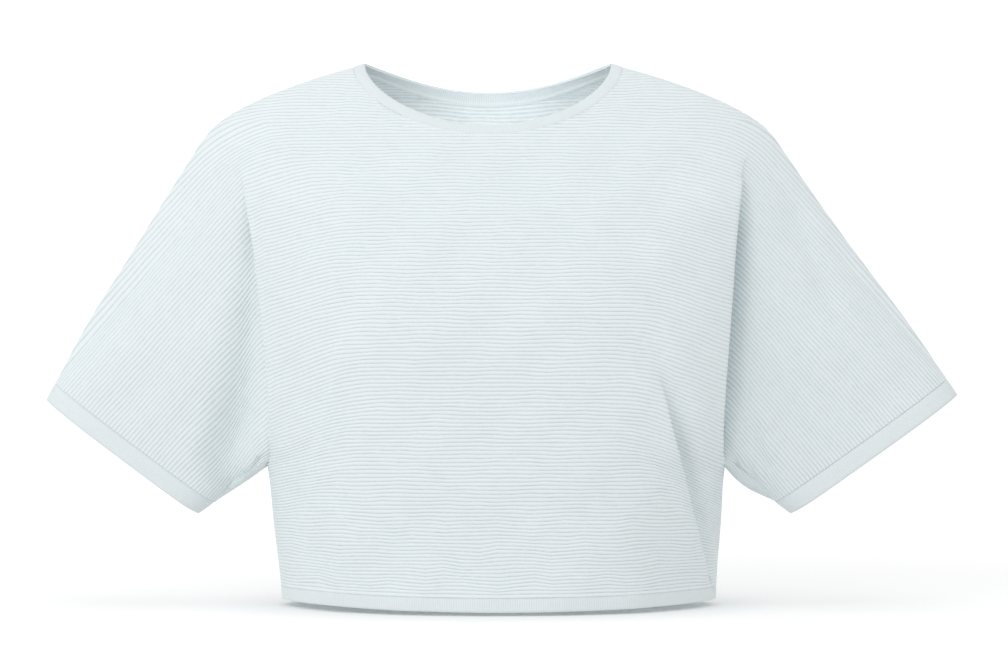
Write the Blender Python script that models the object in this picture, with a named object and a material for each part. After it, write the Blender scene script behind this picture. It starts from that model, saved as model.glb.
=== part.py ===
"""Cropped dolman sweater in cross-ribbed knit, hollow and filled out as if worn.

The front faces -Y, +Z is up and +X is the wearer's left. The origin is the middle of the line
between the two high shoulder points, where the shoulders of a wearer carry the sweater.

Front and back are one panel each, whose ribs run on into half of each sleeve. They meet along
the shoulder and overarm line and along the underarm and side line, which all lie in the plane
y = 0. A sleeve half is a solid of its own from the fold at the armhole outwards. A neckband, two
cuffs and a hem band close the four openings. Every panel is a wall of cloth whose outer face is
a depth in front of, or behind, the outline of the garment.
"""
from collections import namedtuple

import bpy
import numpy as np

# Driving sizes, in metres
LENGTH = 0.499  # high shoulder point down to the edge of the hem
CLOTH = 0.0020  # thickness of the knit
SEAM_GAP = 0.0003  # clearance between two pieces at a seam
ARMHOLE_GAP = 0.0005  # the same across the armhole line, which a sleeve leaves on a slant
NECK_HALF_WIDTH = 0.1144
FRONT_NECK_DROP = 0.0604
BACK_NECK_DROP = 0.0214
NECKBAND_WIDTH = 0.0110
NECK_SEAM_Z = -0.0032  # where the neckband's seam crosses the shoulder line
CUFF_WIDTH = 0.0180
HEM_BAND_WIDTH = 0.0130
HEM_SWAY = 0.0102  # the hem hangs this far to the wearer's left of the neck
SHOULDER_POINT_Z = -0.0550  # where the armhole line leaves the shoulder line
UNDERARM_Z = -0.3729
CUFF_TOP_SHARE = 0.172  # the part of the armhole, from above, whose rows end on the overarm
SLEEVE_ROW_BOW = 0.0040  # how far a row along the sleeve bows up between its ends

# One row for each side. The cuff's low corner is (cuff_x, cuff_z) on the outline.
Side = namedtuple("Side", "name sign reach cuff_top_z cuff_x cuff_z armhole fold")
SIDES = (
    Side("left", 1.0, 1.0, -0.3078, 0.2733, -0.4176, 0.0045, 1.0),
    Side("right", -1.0, -1.0, -0.3125, 0.2782, -0.4176, -0.0045, 0.6),
)

# Shoulder and overarm line: half width at each height. A side reaches out by its share of reach.
Overarm = namedtuple("Overarm", "z x reach")
OVERARM = (
    Overarm(0.0000, 0.1144, 0.0000),
    Overarm(-0.0149, 0.1640, 0.0000),
    Overarm(-0.0335, 0.2130, 0.0000),
    Overarm(-0.0521, 0.2473, 0.0000),
    Overarm(-0.0707, 0.2660, 0.0000),
    Overarm(-0.0893, 0.2785, 0.0000),
    Overarm(-0.1265, 0.3032, 0.0002),
    Overarm(-0.1823, 0.3408, 0.0020),
    Overarm(-0.2381, 0.3794, 0.0044),
    Overarm(-0.3200, 0.4290, 0.0085),
)

# Armhole line: half width at each height, and how far the body stands over the sleeve there.
Armhole = namedtuple("Armhole", "z x front_fold back_fold")
ARMHOLE = (
    Armhole(-0.0550, 0.2510, 0.0000, 0.0000),
    Armhole(-0.0750, 0.2400, 0.0000, 0.0000),
    Armhole(-0.1000, 0.2295, 0.0020, 0.0010),
    Armhole(-0.1290, 0.2240, 0.0060, 0.0030),
    Armhole(-0.1660, 0.2185, 0.0090, 0.0050),
    Armhole(-0.2200, 0.2130, 0.0110, 0.0070),
    Armhole(-0.2750, 0.2080, 0.0130, 0.0080),
    Armhole(-0.3110, 0.2064, 0.0130, 0.0080),
    Armhole(-0.3480, 0.2075, 0.0090, 0.0060),
    Armhole(-0.3729, 0.2125, 0.0000, 0.0000),
)

# Side line: half width at each height from the underarm to the hem.
SideLine = namedtuple("SideLine", "z x")
SIDE_LINE = (
    SideLine(-0.3729, 0.2125),
    SideLine(-0.3870, 0.2107),
    SideLine(-0.4240, 0.2078),
    SideLine(-0.4610, 0.2040),
    SideLine(-0.4990, 0.2010),
)

# Body sections: depth at the centre front and back, and how flat the section is in the middle.
Section = namedtuple("Section", "z front back flatness")
SECTIONS = (
    Section(0.0000, 0.0000, 0.0000, 2.4),
    Section(-0.0030, 0.0130, 0.0360, 2.4),
    Section(-0.0100, 0.0215, 0.0530, 2.4),
    Section(-0.0214, 0.0310, 0.0650, 2.4),
    Section(-0.0450, 0.0490, 0.0765, 2.5),
    Section(-0.0750, 0.0705, 0.0855, 2.6),
    Section(-0.1100, 0.0940, 0.0920, 2.7),
    Section(-0.1500, 0.1170, 0.0965, 2.8),
    Section(-0.2000, 0.1350, 0.0995, 2.9),
    Section(-0.2570, 0.1430, 0.1000, 3.0),
    Section(-0.3200, 0.1405, 0.0990, 3.0),
    Section(-0.3729, 0.1345, 0.0980, 3.0),
    Section(-0.4300, 0.1255, 0.0995, 3.0),
    Section(-0.4990, 0.1150, 0.1050, 2.9),
)

# Half depth of the sleeve at the armhole and at the cuff, in front of and behind the seam plane.
SLEEVE_DEPTH = {"front": (0.066, 0.032), "back": (0.058, 0.032)}
SLEEVE_FLATNESS = 2.4

# Large folds of the body: a trough from (x, z) to (x, z) on one side, sharp on the side towards
# the centre and soft on the other. Sides are +1 for the wearer's left and -1 for the right.
Fold = namedtuple("Fold", "face sign x_top z_top x_low z_low depth sharp soft")
FOLDS = (
    Fold("front", 1, 0.150, -0.285, 0.197, -0.480, 0.0125, 0.008, 0.020),
    Fold("front", -1, 0.152, -0.315, 0.199, -0.480, 0.0070, 0.010, 0.022),
    Fold("back", 1, 0.120, -0.250, 0.180, -0.470, 0.0060, 0.012, 0.026),
    Fold("back", -1, 0.112, -0.270, 0.172, -0.480, 0.0070, 0.011, 0.028),
)

# How finely the walls are cut
BODY_COLUMNS = 12
SLEEVE_COLUMNS = 6
NECK_SHARES = (1.0, 0.97, 0.91, 0.82, 0.70, 0.54, 0.36, 0.18, 0.0)
ROW_HEIGHTS = (
    -0.0755, -0.0835, -0.0950, -0.1096, -0.1210, -0.1380, -0.1620, -0.1920, -0.2240, -0.2560,
    -0.2860, -0.3130, -0.3390, -0.3600, -0.3729, -0.3900, -0.4200, -0.4530,
)
HEM_COLUMNS = 12

# Cross-ribbed cotton knit in pale ice mint
COLOURS = {
    "front": (0.76, 0.82, 0.83, 1.0),
    "back": (0.74, 0.80, 0.82, 1.0),
    "band": (0.78, 0.84, 0.85, 1.0),
}
KNIT_ROUGHNESS = 0.92
CREASE_ANGLE = 0.9  # radians; sharper edges than this are shaded as edges


def along(knots, values, at):
    """Return a smooth curve through a table's column, read at the given places."""
    knots = np.asarray(knots, float)
    values = np.asarray(values, float)
    at = np.clip(np.asarray(at, float), knots[0], knots[-1])
    slopes = np.gradient(values, knots)
    low = np.clip(np.searchsorted(knots, at, side="right") - 1, 0, len(knots) - 2)
    span = knots[low + 1] - knots[low]
    share = (at - knots[low]) / span
    rise = share * share * (3.0 - 2.0 * share)
    leave = share * (1.0 - share) ** 2
    arrive = -share * share * (1.0 - share)
    return (
        values[low] * (1.0 - rise)
        + values[low + 1] * rise
        + span * (slopes[low] * leave + slopes[low + 1] * arrive)
    )


def column(table, name):
    """Return one named column of a table as a list."""
    return [getattr(row, name) for row in table]


def below(table, name, z):
    """Read a table's column at a height; tables run downwards from the shoulders."""
    return along([-row.z for row in table], column(table, name), -np.asarray(z, float))


def section(name, z):
    """Read a column of the body sections, which round over at the shoulders."""
    depth_below = np.sqrt([-row.z for row in SECTIONS])
    return along(depth_below, column(SECTIONS, name), np.sqrt(np.maximum(-np.asarray(z, float), 0.0)))


def overarm_x(side, z):
    """Half width of the shoulder and overarm line at a height."""
    return below(OVERARM, "x", z) + side.reach * below(OVERARM, "reach", z)


def armhole_x(side, z):
    """Half width of the armhole line at a height; the two sides differ a little in the middle."""
    share = armhole_share(z)
    return below(ARMHOLE, "x", z) + side.armhole * np.sin(np.pi * np.clip(share, 0.0, 1.0))


def armhole_share(z):
    """How far down the armhole line a height is: 0 at the shoulder point, 1 at the underarm."""
    return (SHOULDER_POINT_Z - np.asarray(z, float)) / (SHOULDER_POINT_Z - UNDERARM_Z)


def outer_x(side, z):
    """Half width of the body at a height: shoulder line, then armhole line, then side line."""
    if z >= SHOULDER_POINT_Z:
        return float(overarm_x(side, z))
    if z > UNDERARM_Z:
        return float(armhole_x(side, z))
    return float(below(SIDE_LINE, "x", z))


def sleeve_depth(face, share, reach):
    """Depth of the sleeve at a share across it (0 overarm, 1 underarm) and along it (0 armhole)."""
    start, end = SLEEVE_DEPTH[face]
    roundness = 1.0 - np.abs(2.0 * np.clip(share, 0.0, 1.0) - 1.0) ** SLEEVE_FLATNESS
    return (start + (end - start) * reach) * np.sqrt(np.maximum(roundness, 0.0))


def fold_height(side, face, z):
    """How far the edge of the body stands over the start of the sleeve."""
    return side.fold * float(below(ARMHOLE, face + "_fold", z))


def end_depth(side, face, z):
    """Depth of the body's outer edge at a height; the edge is on the seam plane off the armhole."""
    share = float(armhole_share(z))
    if not 0.0 < share < 1.0:
        return 0.0
    return float(sleeve_depth(face, share, 0.0)) + fold_height(side, face, z)


def fold_relief(side, face, x, z):
    """Change of depth that the large folds make at a place on the body."""
    relief = np.zeros_like(np.asarray(x, float) + np.asarray(z, float))
    for fold in FOLDS:
        if fold.face != face or fold.sign != side.sign:
            continue
        run = np.array([fold.x_low - fold.x_top, fold.z_low - fold.z_top])
        length = np.hypot(*run)
        run = run / length
        across = (x - fold.x_top) * -run[1] + (z - fold.z_top) * run[0]
        share = ((x - fold.x_top) * run[0] + (z - fold.z_top) * run[1]) / length
        width = np.where(across < 0.0, fold.sharp, fold.soft)
        fade = np.clip(np.sin(np.pi * np.clip(share, 0.0, 1.0)), 0.0, 1.0) ** 0.6
        relief = relief - fold.depth * fade * np.exp(-((across / width) ** 2))
    return relief


def body_depth(side, face, x, z):
    """Depth of the body's outer face in front of, or behind, the seam plane.

    Each level section is half an oval. On the armhole line the oval is wider than the body and
    is cut off where it reaches the depth of the armhole.
    """
    centre = float(section(face, z))
    if centre == 0.0:
        return np.zeros_like(np.asarray(x, float))
    flatness = float(section("flatness", z))
    outer = outer_x(side, z)
    edge_share = (1.0 - (end_depth(side, face, z) / centre) ** 2) ** (1.0 / flatness)
    share = np.clip(np.asarray(x, float) / outer, 0.0, 1.0)
    depth = centre * np.sqrt(1.0 - (share * edge_share) ** flatness)
    return np.maximum(depth + fold_relief(side, face, x, z) * (1.0 - share ** 12), 0.0)


def neck_edge(face, share, band):
    """Half width and height of the neckline at a share out from the centre.

    A band of 0 gives the open edge, and 1 gives the seam between band and panel.
    """
    shoulder_z = NECK_SEAM_Z * band
    half_width = float(below(OVERARM, "x", shoulder_z))
    if face == "front":
        drop = FRONT_NECK_DROP + (NECKBAND_WIDTH - 0.0015) * band
        curve = (1.0 - share ** 1.9) ** (1.0 / 1.7)
    else:
        drop = BACK_NECK_DROP + (NECKBAND_WIDTH - 0.0006) * band
        curve = (1.0 - share ** 2.0) ** 1.35
    return half_width * share, shoulder_z - (drop + shoulder_z) * curve


def cuff_frame(side):
    """Return the cuff's top and low corner on the outline, and the outward axis of the sleeve."""
    top = np.array([float(overarm_x(side, side.cuff_top_z)), side.cuff_top_z])
    low = np.array([side.cuff_x, side.cuff_z])
    edge = (low - top) / np.hypot(*(low - top))
    return top, low, np.array([-edge[1], edge[0]])


def cuff_corners(side, back):
    """Return the outline's top and low point a distance back up the sleeve from the cuff's edge."""
    top, low, axis = cuff_frame(side)
    underarm = np.array([float(armhole_x(side, UNDERARM_Z)), UNDERARM_Z])
    low_run = (low - underarm) / np.dot(low - underarm, axis)
    higher = side.cuff_top_z + 0.02
    top_run = top - np.array([float(overarm_x(side, higher)), higher])
    top_run = top_run / np.dot(top_run, axis)
    return top - top_run * back, low - low_run * back


def sleeve_end(side, share):
    """Return the outline point where a row of the sleeve ends, and its share across the sleeve."""
    top, low = cuff_corners(side, CUFF_WIDTH + SEAM_GAP)
    if share < CUFF_TOP_SHARE:
        z = SHOULDER_POINT_Z + (top[1] - SHOULDER_POINT_Z) * (share / CUFF_TOP_SHARE) ** 1.6
        return np.array([float(overarm_x(side, z)), z]), 0.0
    across = (share - CUFF_TOP_SHARE) / (1.0 - CUFF_TOP_SHARE)
    return top + (low - top) * across, across


def place(side, face, x, depth, z):
    """Turn half width, depth and height into points of the garment, swayed at the hem."""
    x, depth, z = np.broadcast_arrays(x, depth, z)
    facing = -1.0 if face == "front" else 1.0
    sway = HEM_SWAY * -z / LENGTH
    return np.stack([sway + side.sign * x, facing * (depth + SEAM_GAP / 2.0), z], axis=-1)


def body_row(side, face, z, inner_x):
    """One level row of the body from the neckline or the centre to its outer edge."""
    share = np.sin(np.linspace(0.0, np.pi / 2.0, BODY_COLUMNS + 1)) ** 0.8
    if inner_x >= outer_x(side, z):
        share = np.ones(1)
    x = inner_x + (outer_x(side, z) - inner_x) * share
    return place(side, face, x, body_depth(side, face, x, z), z)


def sleeve_row(side, face, z):
    """One row of the sleeve, from under the body's edge down to the cuff or the overarm line."""
    share = float(armhole_share(z))
    start = np.array([float(armhole_x(side, z)), z])
    end, end_share = sleeve_end(side, share)
    run = (end - start) / np.hypot(*(end - start))
    fold = fold_height(side, face, z)
    depth = float(sleeve_depth(face, share, 0.0))
    length = np.hypot(*(end - start))
    step = min(0.0030, 0.1 * length)
    rows = []
    # The edge of the body rolls over and, where it is deep enough, turns in under itself before
    # the sleeve comes out.
    tuck = max(0.0, fold - 2.0 * CLOTH)
    for steps_out, out, drop in ((0.3, 0.10, 0.35), (0.6, -0.45, 0.85), (1.2, -0.15, 1.0)):
        point = start + run * step * steps_out + np.array([out * (fold if out > 0.0 else tuck), 0.0])
        rows.append((point[0], depth + fold * (1.0 - drop), point[1]))
    for j in range(1, SLEEVE_COLUMNS + 1):
        along_row = j / SLEEVE_COLUMNS
        bow = SLEEVE_ROW_BOW * np.sin(np.pi * along_row) * np.array([-run[1], run[0]])
        point = start + (end - start) * along_row + bow * min(1.0, share / CUFF_TOP_SHARE) ** 2
        across = share + (end_share - share) * along_row
        reach = along_row * min(1.0, share / CUFF_TOP_SHARE)
        rows.append((point[0], float(sleeve_depth(face, across, reach)), point[1]))
    x, depth, z = np.array(rows).T
    return place(side, face, x, depth, z)


class Sheet:
    """The outer face of a piece: welded points and the faces between them."""

    def __init__(self):
        self.points = []
        self.faces = []
        self.index = {}

    def corner(self, point):
        """Return the index of a point, welding it to one already there."""
        key = tuple(np.round(point, 6) + 0.0)
        if key not in self.index:
            self.index[key] = len(self.points)
            self.points.append(np.array(point, float))
        return self.index[key]

    def face(self, corners, flip):
        """Add a face, dropping corners that weld together."""
        loop = []
        for point in corners:
            index = self.corner(point)
            if index not in loop:
                loop.append(index)
        if len(loop) > 2:
            self.faces.append(loop[::-1] if flip else loop)

    def grid(self, rows, flip):
        """Add the faces between rows of points; a row of one point makes a fan."""
        for upper, lower in zip(rows[:-1], rows[1:]):
            upper = [upper[min(j, len(upper) - 1)] for j in range(max(len(upper), len(lower)))]
            lower = [lower[min(j, len(lower) - 1)] for j in range(len(upper))]
            for j in range(len(upper) - 1):
                self.face((upper[j], lower[j], lower[j + 1], upper[j + 1]), flip)


def vertex_normals(points, faces):
    """Return the outward unit normal at each point, weighted by the area of its faces."""
    normals = np.zeros_like(points)
    for loop in faces:
        ring = points[loop]
        area = np.zeros(3)
        for here, there in zip(ring, np.roll(ring, -1, axis=0)):
            area += np.cross(here - ring[0], there - ring[0])
        normals[loop] += area
    return normals / np.linalg.norm(normals, axis=1)[:, None]


def rim_edges(faces):
    """Return the edges that only one face has, each running the way its face does."""
    edges = {}
    for loop in faces:
        for here, there in zip(loop, loop[1:] + loop[:1]):
            if (there, here) in edges:
                del edges[(there, here)]
            else:
                edges[(here, there)] = True
    return list(edges)


def wall_normals(points, faces, seam_planes):
    """Return the direction of the wall's thickness at each point.

    Each seam plane is (normal, offset): points of the rim on it keep the wall's end in the plane.
    """
    normals = vertex_normals(points, faces)
    rim = np.zeros(len(points), bool)
    rim[[here for here, _there in rim_edges(faces)]] = True
    for plane, offset in seam_planes:
        plane = np.asarray(plane, float)
        on_plane = rim & (np.abs(points @ plane - offset) < 1e-5)
        flat = normals[on_plane] - np.outer(normals[on_plane] @ plane, plane)
        normals[on_plane] = flat / np.linalg.norm(flat, axis=1)[:, None]
    return normals


def thicken(name, points, normals, faces, colour):
    """Give some faces of a sheet their thickness inwards and make them an object."""
    used = sorted({index for loop in faces for index in loop})
    order = {index: i for i, index in enumerate(used)}
    loops = [[order[index] for index in loop] for loop in faces]
    outer = points[used]
    inner = outer - normals[used] * CLOTH
    count = len(used)
    walls = list(loops)
    walls += [[index + count for index in reversed(loop)] for loop in loops]
    # Both pieces at a seam cut their rims along the same diagonals, so that the rims stay apart.
    for here, there in rim_edges(loops):
        low, high = sorted((here, there))
        walls += [[there, here, high + count], [low, here + count, there + count]]
    return cloth_object(name, np.vstack([outer, inner]), walls, colour)


def thick_ring(name, sheet, seam_planes, colour):
    """Make a whole sheet one object."""
    points = np.array(sheet.points)
    normals = wall_normals(points, sheet.faces, seam_planes)
    return thicken(name, points, normals, sheet.faces, colour)


def cloth_object(name, points, faces, colour):
    """Make a named mesh object with its own knit material."""
    mesh = bpy.data.meshes.new(name)
    mesh.from_pydata([tuple(point) for point in points], [], faces)
    mesh.validate()
    mesh.update()
    mesh.shade_smooth()
    mesh.set_sharp_from_angle(angle=CREASE_ANGLE)
    material = bpy.data.materials.new(name + "_knit")
    material.use_nodes = True
    shader = material.node_tree.nodes["Principled BSDF"]
    shader.inputs["Base Color"].default_value = colour
    shader.inputs["Roughness"].default_value = KNIT_ROUGHNESS
    shader.inputs["Metallic"].default_value = 0.0
    mesh.materials.append(material)
    body = bpy.data.objects.new(name, mesh)
    bpy.context.scene.collection.objects.link(body)
    return body


def cuff_plane(side, back):
    """Return the plane square to the sleeve a distance back from the cuff's edge, as swayed.

    The sway moves a point sideways by a share of its height, so the plane leans with it.
    """
    top, low, _axis = cuff_frame(side)
    top_seam, low_seam = cuff_corners(side, back)
    ends = place(side, "front", [top_seam[0], low_seam[0]], 0.0, [top_seam[1], low_seam[1]])
    run = ends[1] - ends[0]
    normal = np.array([-run[2], 0.0, run[0]])
    normal = normal / np.linalg.norm(normal)
    return normal, float(ends[0] @ normal)


def armhole_clearance(sheet, side, rows):
    """Return how far the points of a sleeve half move out to stand clear of the body.

    The first point of each row is on the armhole line and moves most, and the rest of its row
    moves less and less.
    """
    moves = np.zeros((len(sheet.points), 3))
    for i, row in enumerate(rows):
        out = np.array([side.sign, 0.0, 0.0]) if i else rows[1][-1] - row[0]
        out = out / np.linalg.norm(out)
        for j, point in enumerate(row):
            fade = 1.0 - j / max(1, len(row) - 1)
            moves[sheet.corner(point)] = out * ARMHOLE_GAP * fade
    return moves


def build_panel(face):
    """Front or back: the body, and half of each sleeve from the armhole outwards."""
    sheet = Sheet()
    panel_foot = -LENGTH + HEM_BAND_WIDTH + SEAM_GAP
    body_faces = []
    arms = []
    for side in SIDES:
        neck = [neck_edge(face, share, 1.0) for share in NECK_SHARES]
        heights = [z for _x, z in neck]
        heights += [z for z in ROW_HEIGHTS if z < heights[-1] - 0.004]
        if face == "back":
            heights += [-0.0440, -0.0540, -0.0660]
        heights = sorted(heights, reverse=True) + [panel_foot]
        inner = {z: x for x, z in neck}
        body = [body_row(side, face, z, inner.get(z, 0.0)) for z in heights]
        flip = (side.sign > 0) == (face == "back")
        first = len(sheet.faces)
        sheet.grid(body, flip)
        body_faces += sheet.faces[first:]
        arm = []
        for z, row in zip(heights, body):
            if z >= SHOULDER_POINT_Z:
                arm = [row[-1:]]
            elif z >= UNDERARM_Z:
                arm.append(np.vstack([row[-1:], sleeve_row(side, face, z)]))
        first = len(sheet.faces)
        sheet.grid(arm, flip)
        arms.append((side, arm, sheet.faces[first:]))
    facing = -1.0 if face == "front" else 1.0
    planes = [((0.0, 1.0, 0.0), facing * SEAM_GAP / 2.0), ((0.0, 0.0, 1.0), panel_foot)]
    planes += [cuff_plane(side, CUFF_WIDTH + SEAM_GAP) for side in SIDES]
    points = np.array(sheet.points)
    normals = wall_normals(points, sheet.faces, planes)
    thicken(face, points, normals, body_faces, COLOURS[face])
    for side, rows, faces in arms:
        moved = points + armhole_clearance(sheet, side, rows)
        thicken(f"{face}_sleeve_{side.name}", moved, normals, faces, COLOURS[face])


def close_ring(rows, flip):
    """Return a sheet of rings, each a loop of points, one below the other."""
    sheet = Sheet()
    sheet.grid([np.vstack([row, row[:1]]) for row in rows], flip)
    return sheet


def loop_of_halves(front, back):
    """Join a front and a back half, which run the same way, into one loop with shared ends."""
    front = np.array(front)
    back = np.array(back)
    for end in (0, -1):
        front[end] = (front[end] + back[end]) / 2.0
    return np.vstack([front, back[-2:0:-1]])


def build_cuff(side):
    """A cuff: the last stretch of the sleeve, all round."""
    across = (1.0 - np.cos(np.linspace(0.0, np.pi, 17))) / 2.0
    rows = []
    for back in (CUFF_WIDTH, 0.0):
        top, low = cuff_corners(side, back)
        x, z = (top[None, :] + (low - top)[None, :] * across[:, None]).T
        halves = [place(side, face, x, sleeve_depth(face, across, 1.0), z) for face in ("front", "back")]
        rows.append(loop_of_halves(*halves))
    planes = [cuff_plane(side, back) for back in (CUFF_WIDTH, 0.0)]
    return thick_ring("cuff_" + side.name, close_ring(rows, side.sign < 0), planes, COLOURS["band"])


def build_hem_band():
    """The hem band: a level ring whose edge is flat underneath."""
    share = np.sin(np.linspace(0.0, np.pi / 2.0, HEM_COLUMNS + 1)) ** 0.8
    rows = []
    heights = (-LENGTH + HEM_BAND_WIDTH, -LENGTH)
    for z in heights:
        halves = []
        for face in ("front", "back"):
            parts = []
            for side in SIDES:
                x = outer_x(side, z) * share
                parts.append(place(side, face, x, body_depth(side, face, x, z), z))
            halves.append(np.vstack([parts[1][::-1], parts[0][1:]]))
        rows.append(loop_of_halves(*halves))
    planes = [((0.0, 0.0, 1.0), float(z)) for z in (heights[0], heights[-1])]
    return thick_ring("hem_band", close_ring(rows, False), planes, COLOURS["band"])


def neck_ring(band):
    """One loop of the neckline, from the open edge (0) to the seam (1)."""
    halves = []
    for face in ("front", "back"):
        parts = []
        for side in SIDES:
            points = []
            for share in NECK_SHARES[::-1]:
                x, z = neck_edge(face, share, band)
                depth = float(body_depth(side, face, x, z))
                points.append(place(side, face, x, depth, z))
            parts.append(np.array(points))
        halves.append(np.vstack([parts[1][::-1], parts[0][1:]]))
    return loop_of_halves(*halves)


def build_neckband():
    """The neckband, a little short of its seam with the panels."""
    seam = neck_ring(1.0)
    edge = neck_ring(0.0)
    inward = edge - seam
    width = np.linalg.norm(inward, axis=1)[:, None]
    rows = [edge, seam + inward * 0.5, seam + inward / width * SEAM_GAP * 1.5]
    return thick_ring("neckband", close_ring(rows, False), [], COLOURS["band"])


def clear_scene():
    """Remove whatever the start-up scene holds."""
    for item in list(bpy.data.objects):
        bpy.data.objects.remove(item, do_unlink=True)


def build_sweater():
    """Build every piece of the sweater."""
    clear_scene()
    build_panel("front")
    build_panel("back")
    build_neckband()
    for side in SIDES:
        build_cuff(side)
    build_hem_band()


build_sweater()
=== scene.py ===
"""Looks of a cropped dolman sweater in cross-ribbed knit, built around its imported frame.

The front faces -Y, +Z is up and +X is the wearer's left. The origin is the middle of the line
between the two high shoulder points. Front and back are one panel each, cut in one with half of
each sleeve, and a neckband, two cuffs and a hem band in fine rib close the openings. Each piece
is a thin wall of knit whose ribs are real ridges that follow the cut. Lengths are in metres.
"""

import logging
import math
from dataclasses import dataclass
from enum import Enum
from typing import Optional, Sequence

import bpy
import numpy as np
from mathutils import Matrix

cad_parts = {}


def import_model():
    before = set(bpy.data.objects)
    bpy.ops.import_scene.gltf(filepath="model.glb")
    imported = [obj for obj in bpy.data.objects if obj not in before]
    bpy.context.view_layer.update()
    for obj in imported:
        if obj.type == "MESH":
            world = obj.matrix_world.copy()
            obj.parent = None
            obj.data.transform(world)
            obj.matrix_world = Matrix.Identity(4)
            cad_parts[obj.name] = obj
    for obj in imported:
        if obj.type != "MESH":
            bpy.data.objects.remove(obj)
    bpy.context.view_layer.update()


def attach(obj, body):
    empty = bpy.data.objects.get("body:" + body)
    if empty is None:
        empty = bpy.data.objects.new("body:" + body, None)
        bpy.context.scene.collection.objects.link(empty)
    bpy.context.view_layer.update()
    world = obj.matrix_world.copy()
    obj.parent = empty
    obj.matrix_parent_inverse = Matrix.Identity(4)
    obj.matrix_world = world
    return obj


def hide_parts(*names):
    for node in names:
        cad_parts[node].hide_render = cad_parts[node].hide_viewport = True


Array = np.ndarray
Point = tuple[float, float, float]
Socket = bpy.types.NodeSocket
LOG = logging.getLogger("sweater")

LENGTH = 0.499  # high shoulder point down to the edge of the hem
SEAM_GAP = 0.0003
CLOTH = 0.0020
NECK_SEAM_Z = -0.0032
NECKBAND_WIDTH = 0.0110
CUFF_WIDTH = 0.0180
HEM_BAND_WIDTH = 0.0130
PANEL_FOOT_Z = -LENGTH + HEM_BAND_WIDTH + SEAM_GAP
HEM_SWAY = 0.0102
HEM_LIFT = 0.0018
HEM_DIP = 0.0006
SHOULDER_POINT_Z = -0.0550
UNDERARM_Z = -0.3729
SLEEVE_FLATNESS = 2.4
UNDERSIDE_FLATNESS = 3.2
RIB_DRAG = 0.0055
WELD = 2.0e-5
SMOOTH_ANGLE = math.radians(80.0)
FINE = 1200  # points on a line that is read back by distance
NECK_POINTS = 2001  # points on the neck seam, which is read back by place
LIP_PLACE = 0.003  # how far before its edge a fold's lip stands
LIP_WIDTH = 0.006
QUARTER_TURN = math.pi / 2.0
# where the rows of points lie across a rib: in the groove, and on both shoulders of the ridge
RIB_STEPS = (0.0, 0.26, 0.74)


class Face(Enum):
    """The two panels, by the way they face."""

    FRONT = "front"
    BACK = "back"

    @property
    def toward(self) -> float:
        """Direction along Y that the outer face looks in."""
        return -1.0 if self is Face.FRONT else 1.0


def ease(value: Array, low: float, high: float) -> Array:
    """Rise smoothly from 0 at low to 1 at high."""
    share = np.clip((value - low) / (high - low), 0.0, 1.0)
    return share * share * (3.0 - 2.0 * share)


def fade(value: Array, low: float, high: float) -> Array:
    """Fall smoothly from 1 at low to 0 at high."""
    return 1.0 - ease(value, low, high)


def eased_run(x: Array, begin: Array, full: Array) -> Array:
    """Length along x of a slope that rises smoothly from 0 at begin to 1 at full."""
    share = np.clip((x - begin) / (full - begin), 0.0, 1.0)
    return (full - begin) * (share ** 3 - 0.5 * share ** 4) + np.maximum(x - full, 0.0)


def ripple(x: Array, z: Array, waves: Sequence[tuple[float, float, float, float]]) -> Array:
    """Sum slanting waves.

    Args:
        x: places across the garment.
        z: heights.
        waves: the height, length along x, length along z and start of each wave.

    Returns:
        The sum at each place.
    """
    total = np.zeros(np.broadcast(x, z).shape)
    for height, long_x, long_z, start in waves:
        total = total + height * np.sin(2.0 * math.pi * (x / long_x + z / long_z) + start)
    return total


def rib_profile(phase: Array) -> Array:
    """Height of a rib, 0 in the groove at each whole phase and 1 along the ridge."""
    return np.abs(np.sin(math.pi * np.asarray(phase, float))) ** 0.55


def rib_phases(ribs: int) -> Array:
    """Number of ribs down to each row of points, for a stretch of whole ribs."""
    starts = np.repeat(np.arange(ribs), len(RIB_STEPS)) + np.tile(RIB_STEPS, ribs)
    return np.append(starts, float(ribs))


def run_lengths(points: Array) -> Array:
    """Distance to each point from the first one of its line, or of its row of a grid."""
    steps = np.cumsum(np.linalg.norm(np.diff(points, axis=-2), axis=-1), axis=-1)
    return np.concatenate([np.zeros((*steps.shape[:-1], 1)), steps], axis=-1)


def arc_shares(points: Array) -> Array:
    """Distance along a line of points, from 0 at its start to 1 at its end."""
    run = run_lengths(points)
    return run / max(run[-1], 1e-9)


@dataclass(frozen=True)
class Table:
    """Named columns over a row of depths, read as smooth curves down from the shoulders."""

    depths: tuple[float, ...]
    columns: dict[str, tuple[float, ...]]
    power: float = 1.0

    def read(self, name: str, height: Array | float) -> Array:
        """Read one column at the given heights.

        Args:
            name: the column's name.
            height: heights, at or below zero.

        Returns:
            The column's value at each height, on a cubic curve through the rows.
        """
        knots = np.array(self.depths) ** self.power
        values = np.array(self.columns[name])
        at = np.maximum(-np.asarray(height, float), 0.0) ** self.power
        at = np.clip(at, knots[0], knots[-1])
        slopes = np.gradient(values, knots)
        low = np.clip(np.searchsorted(knots, at, side="right") - 1, 0, len(knots) - 2)
        span = knots[low + 1] - knots[low]
        share = (at - knots[low]) / span
        rise = share * share * (3.0 - 2.0 * share)
        leave = share * (1.0 - share) ** 2
        arrive = -share * share * (1.0 - share)
        curve = values[low] * (1.0 - rise) + values[low + 1] * rise
        return curve + span * (slopes[low] * leave + slopes[low + 1] * arrive)


@dataclass(frozen=True)
class Side:
    """One side of the sweater: where its cuff lies and how deep its armhole folds over."""

    name: str
    sign: float
    cuff_top_z: float
    cuff_low: tuple[float, float]
    armhole: float
    fold: float
    bend: float
    cuff_top_share: float
    valley: float
    valley_width: float
    sag: float


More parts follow.
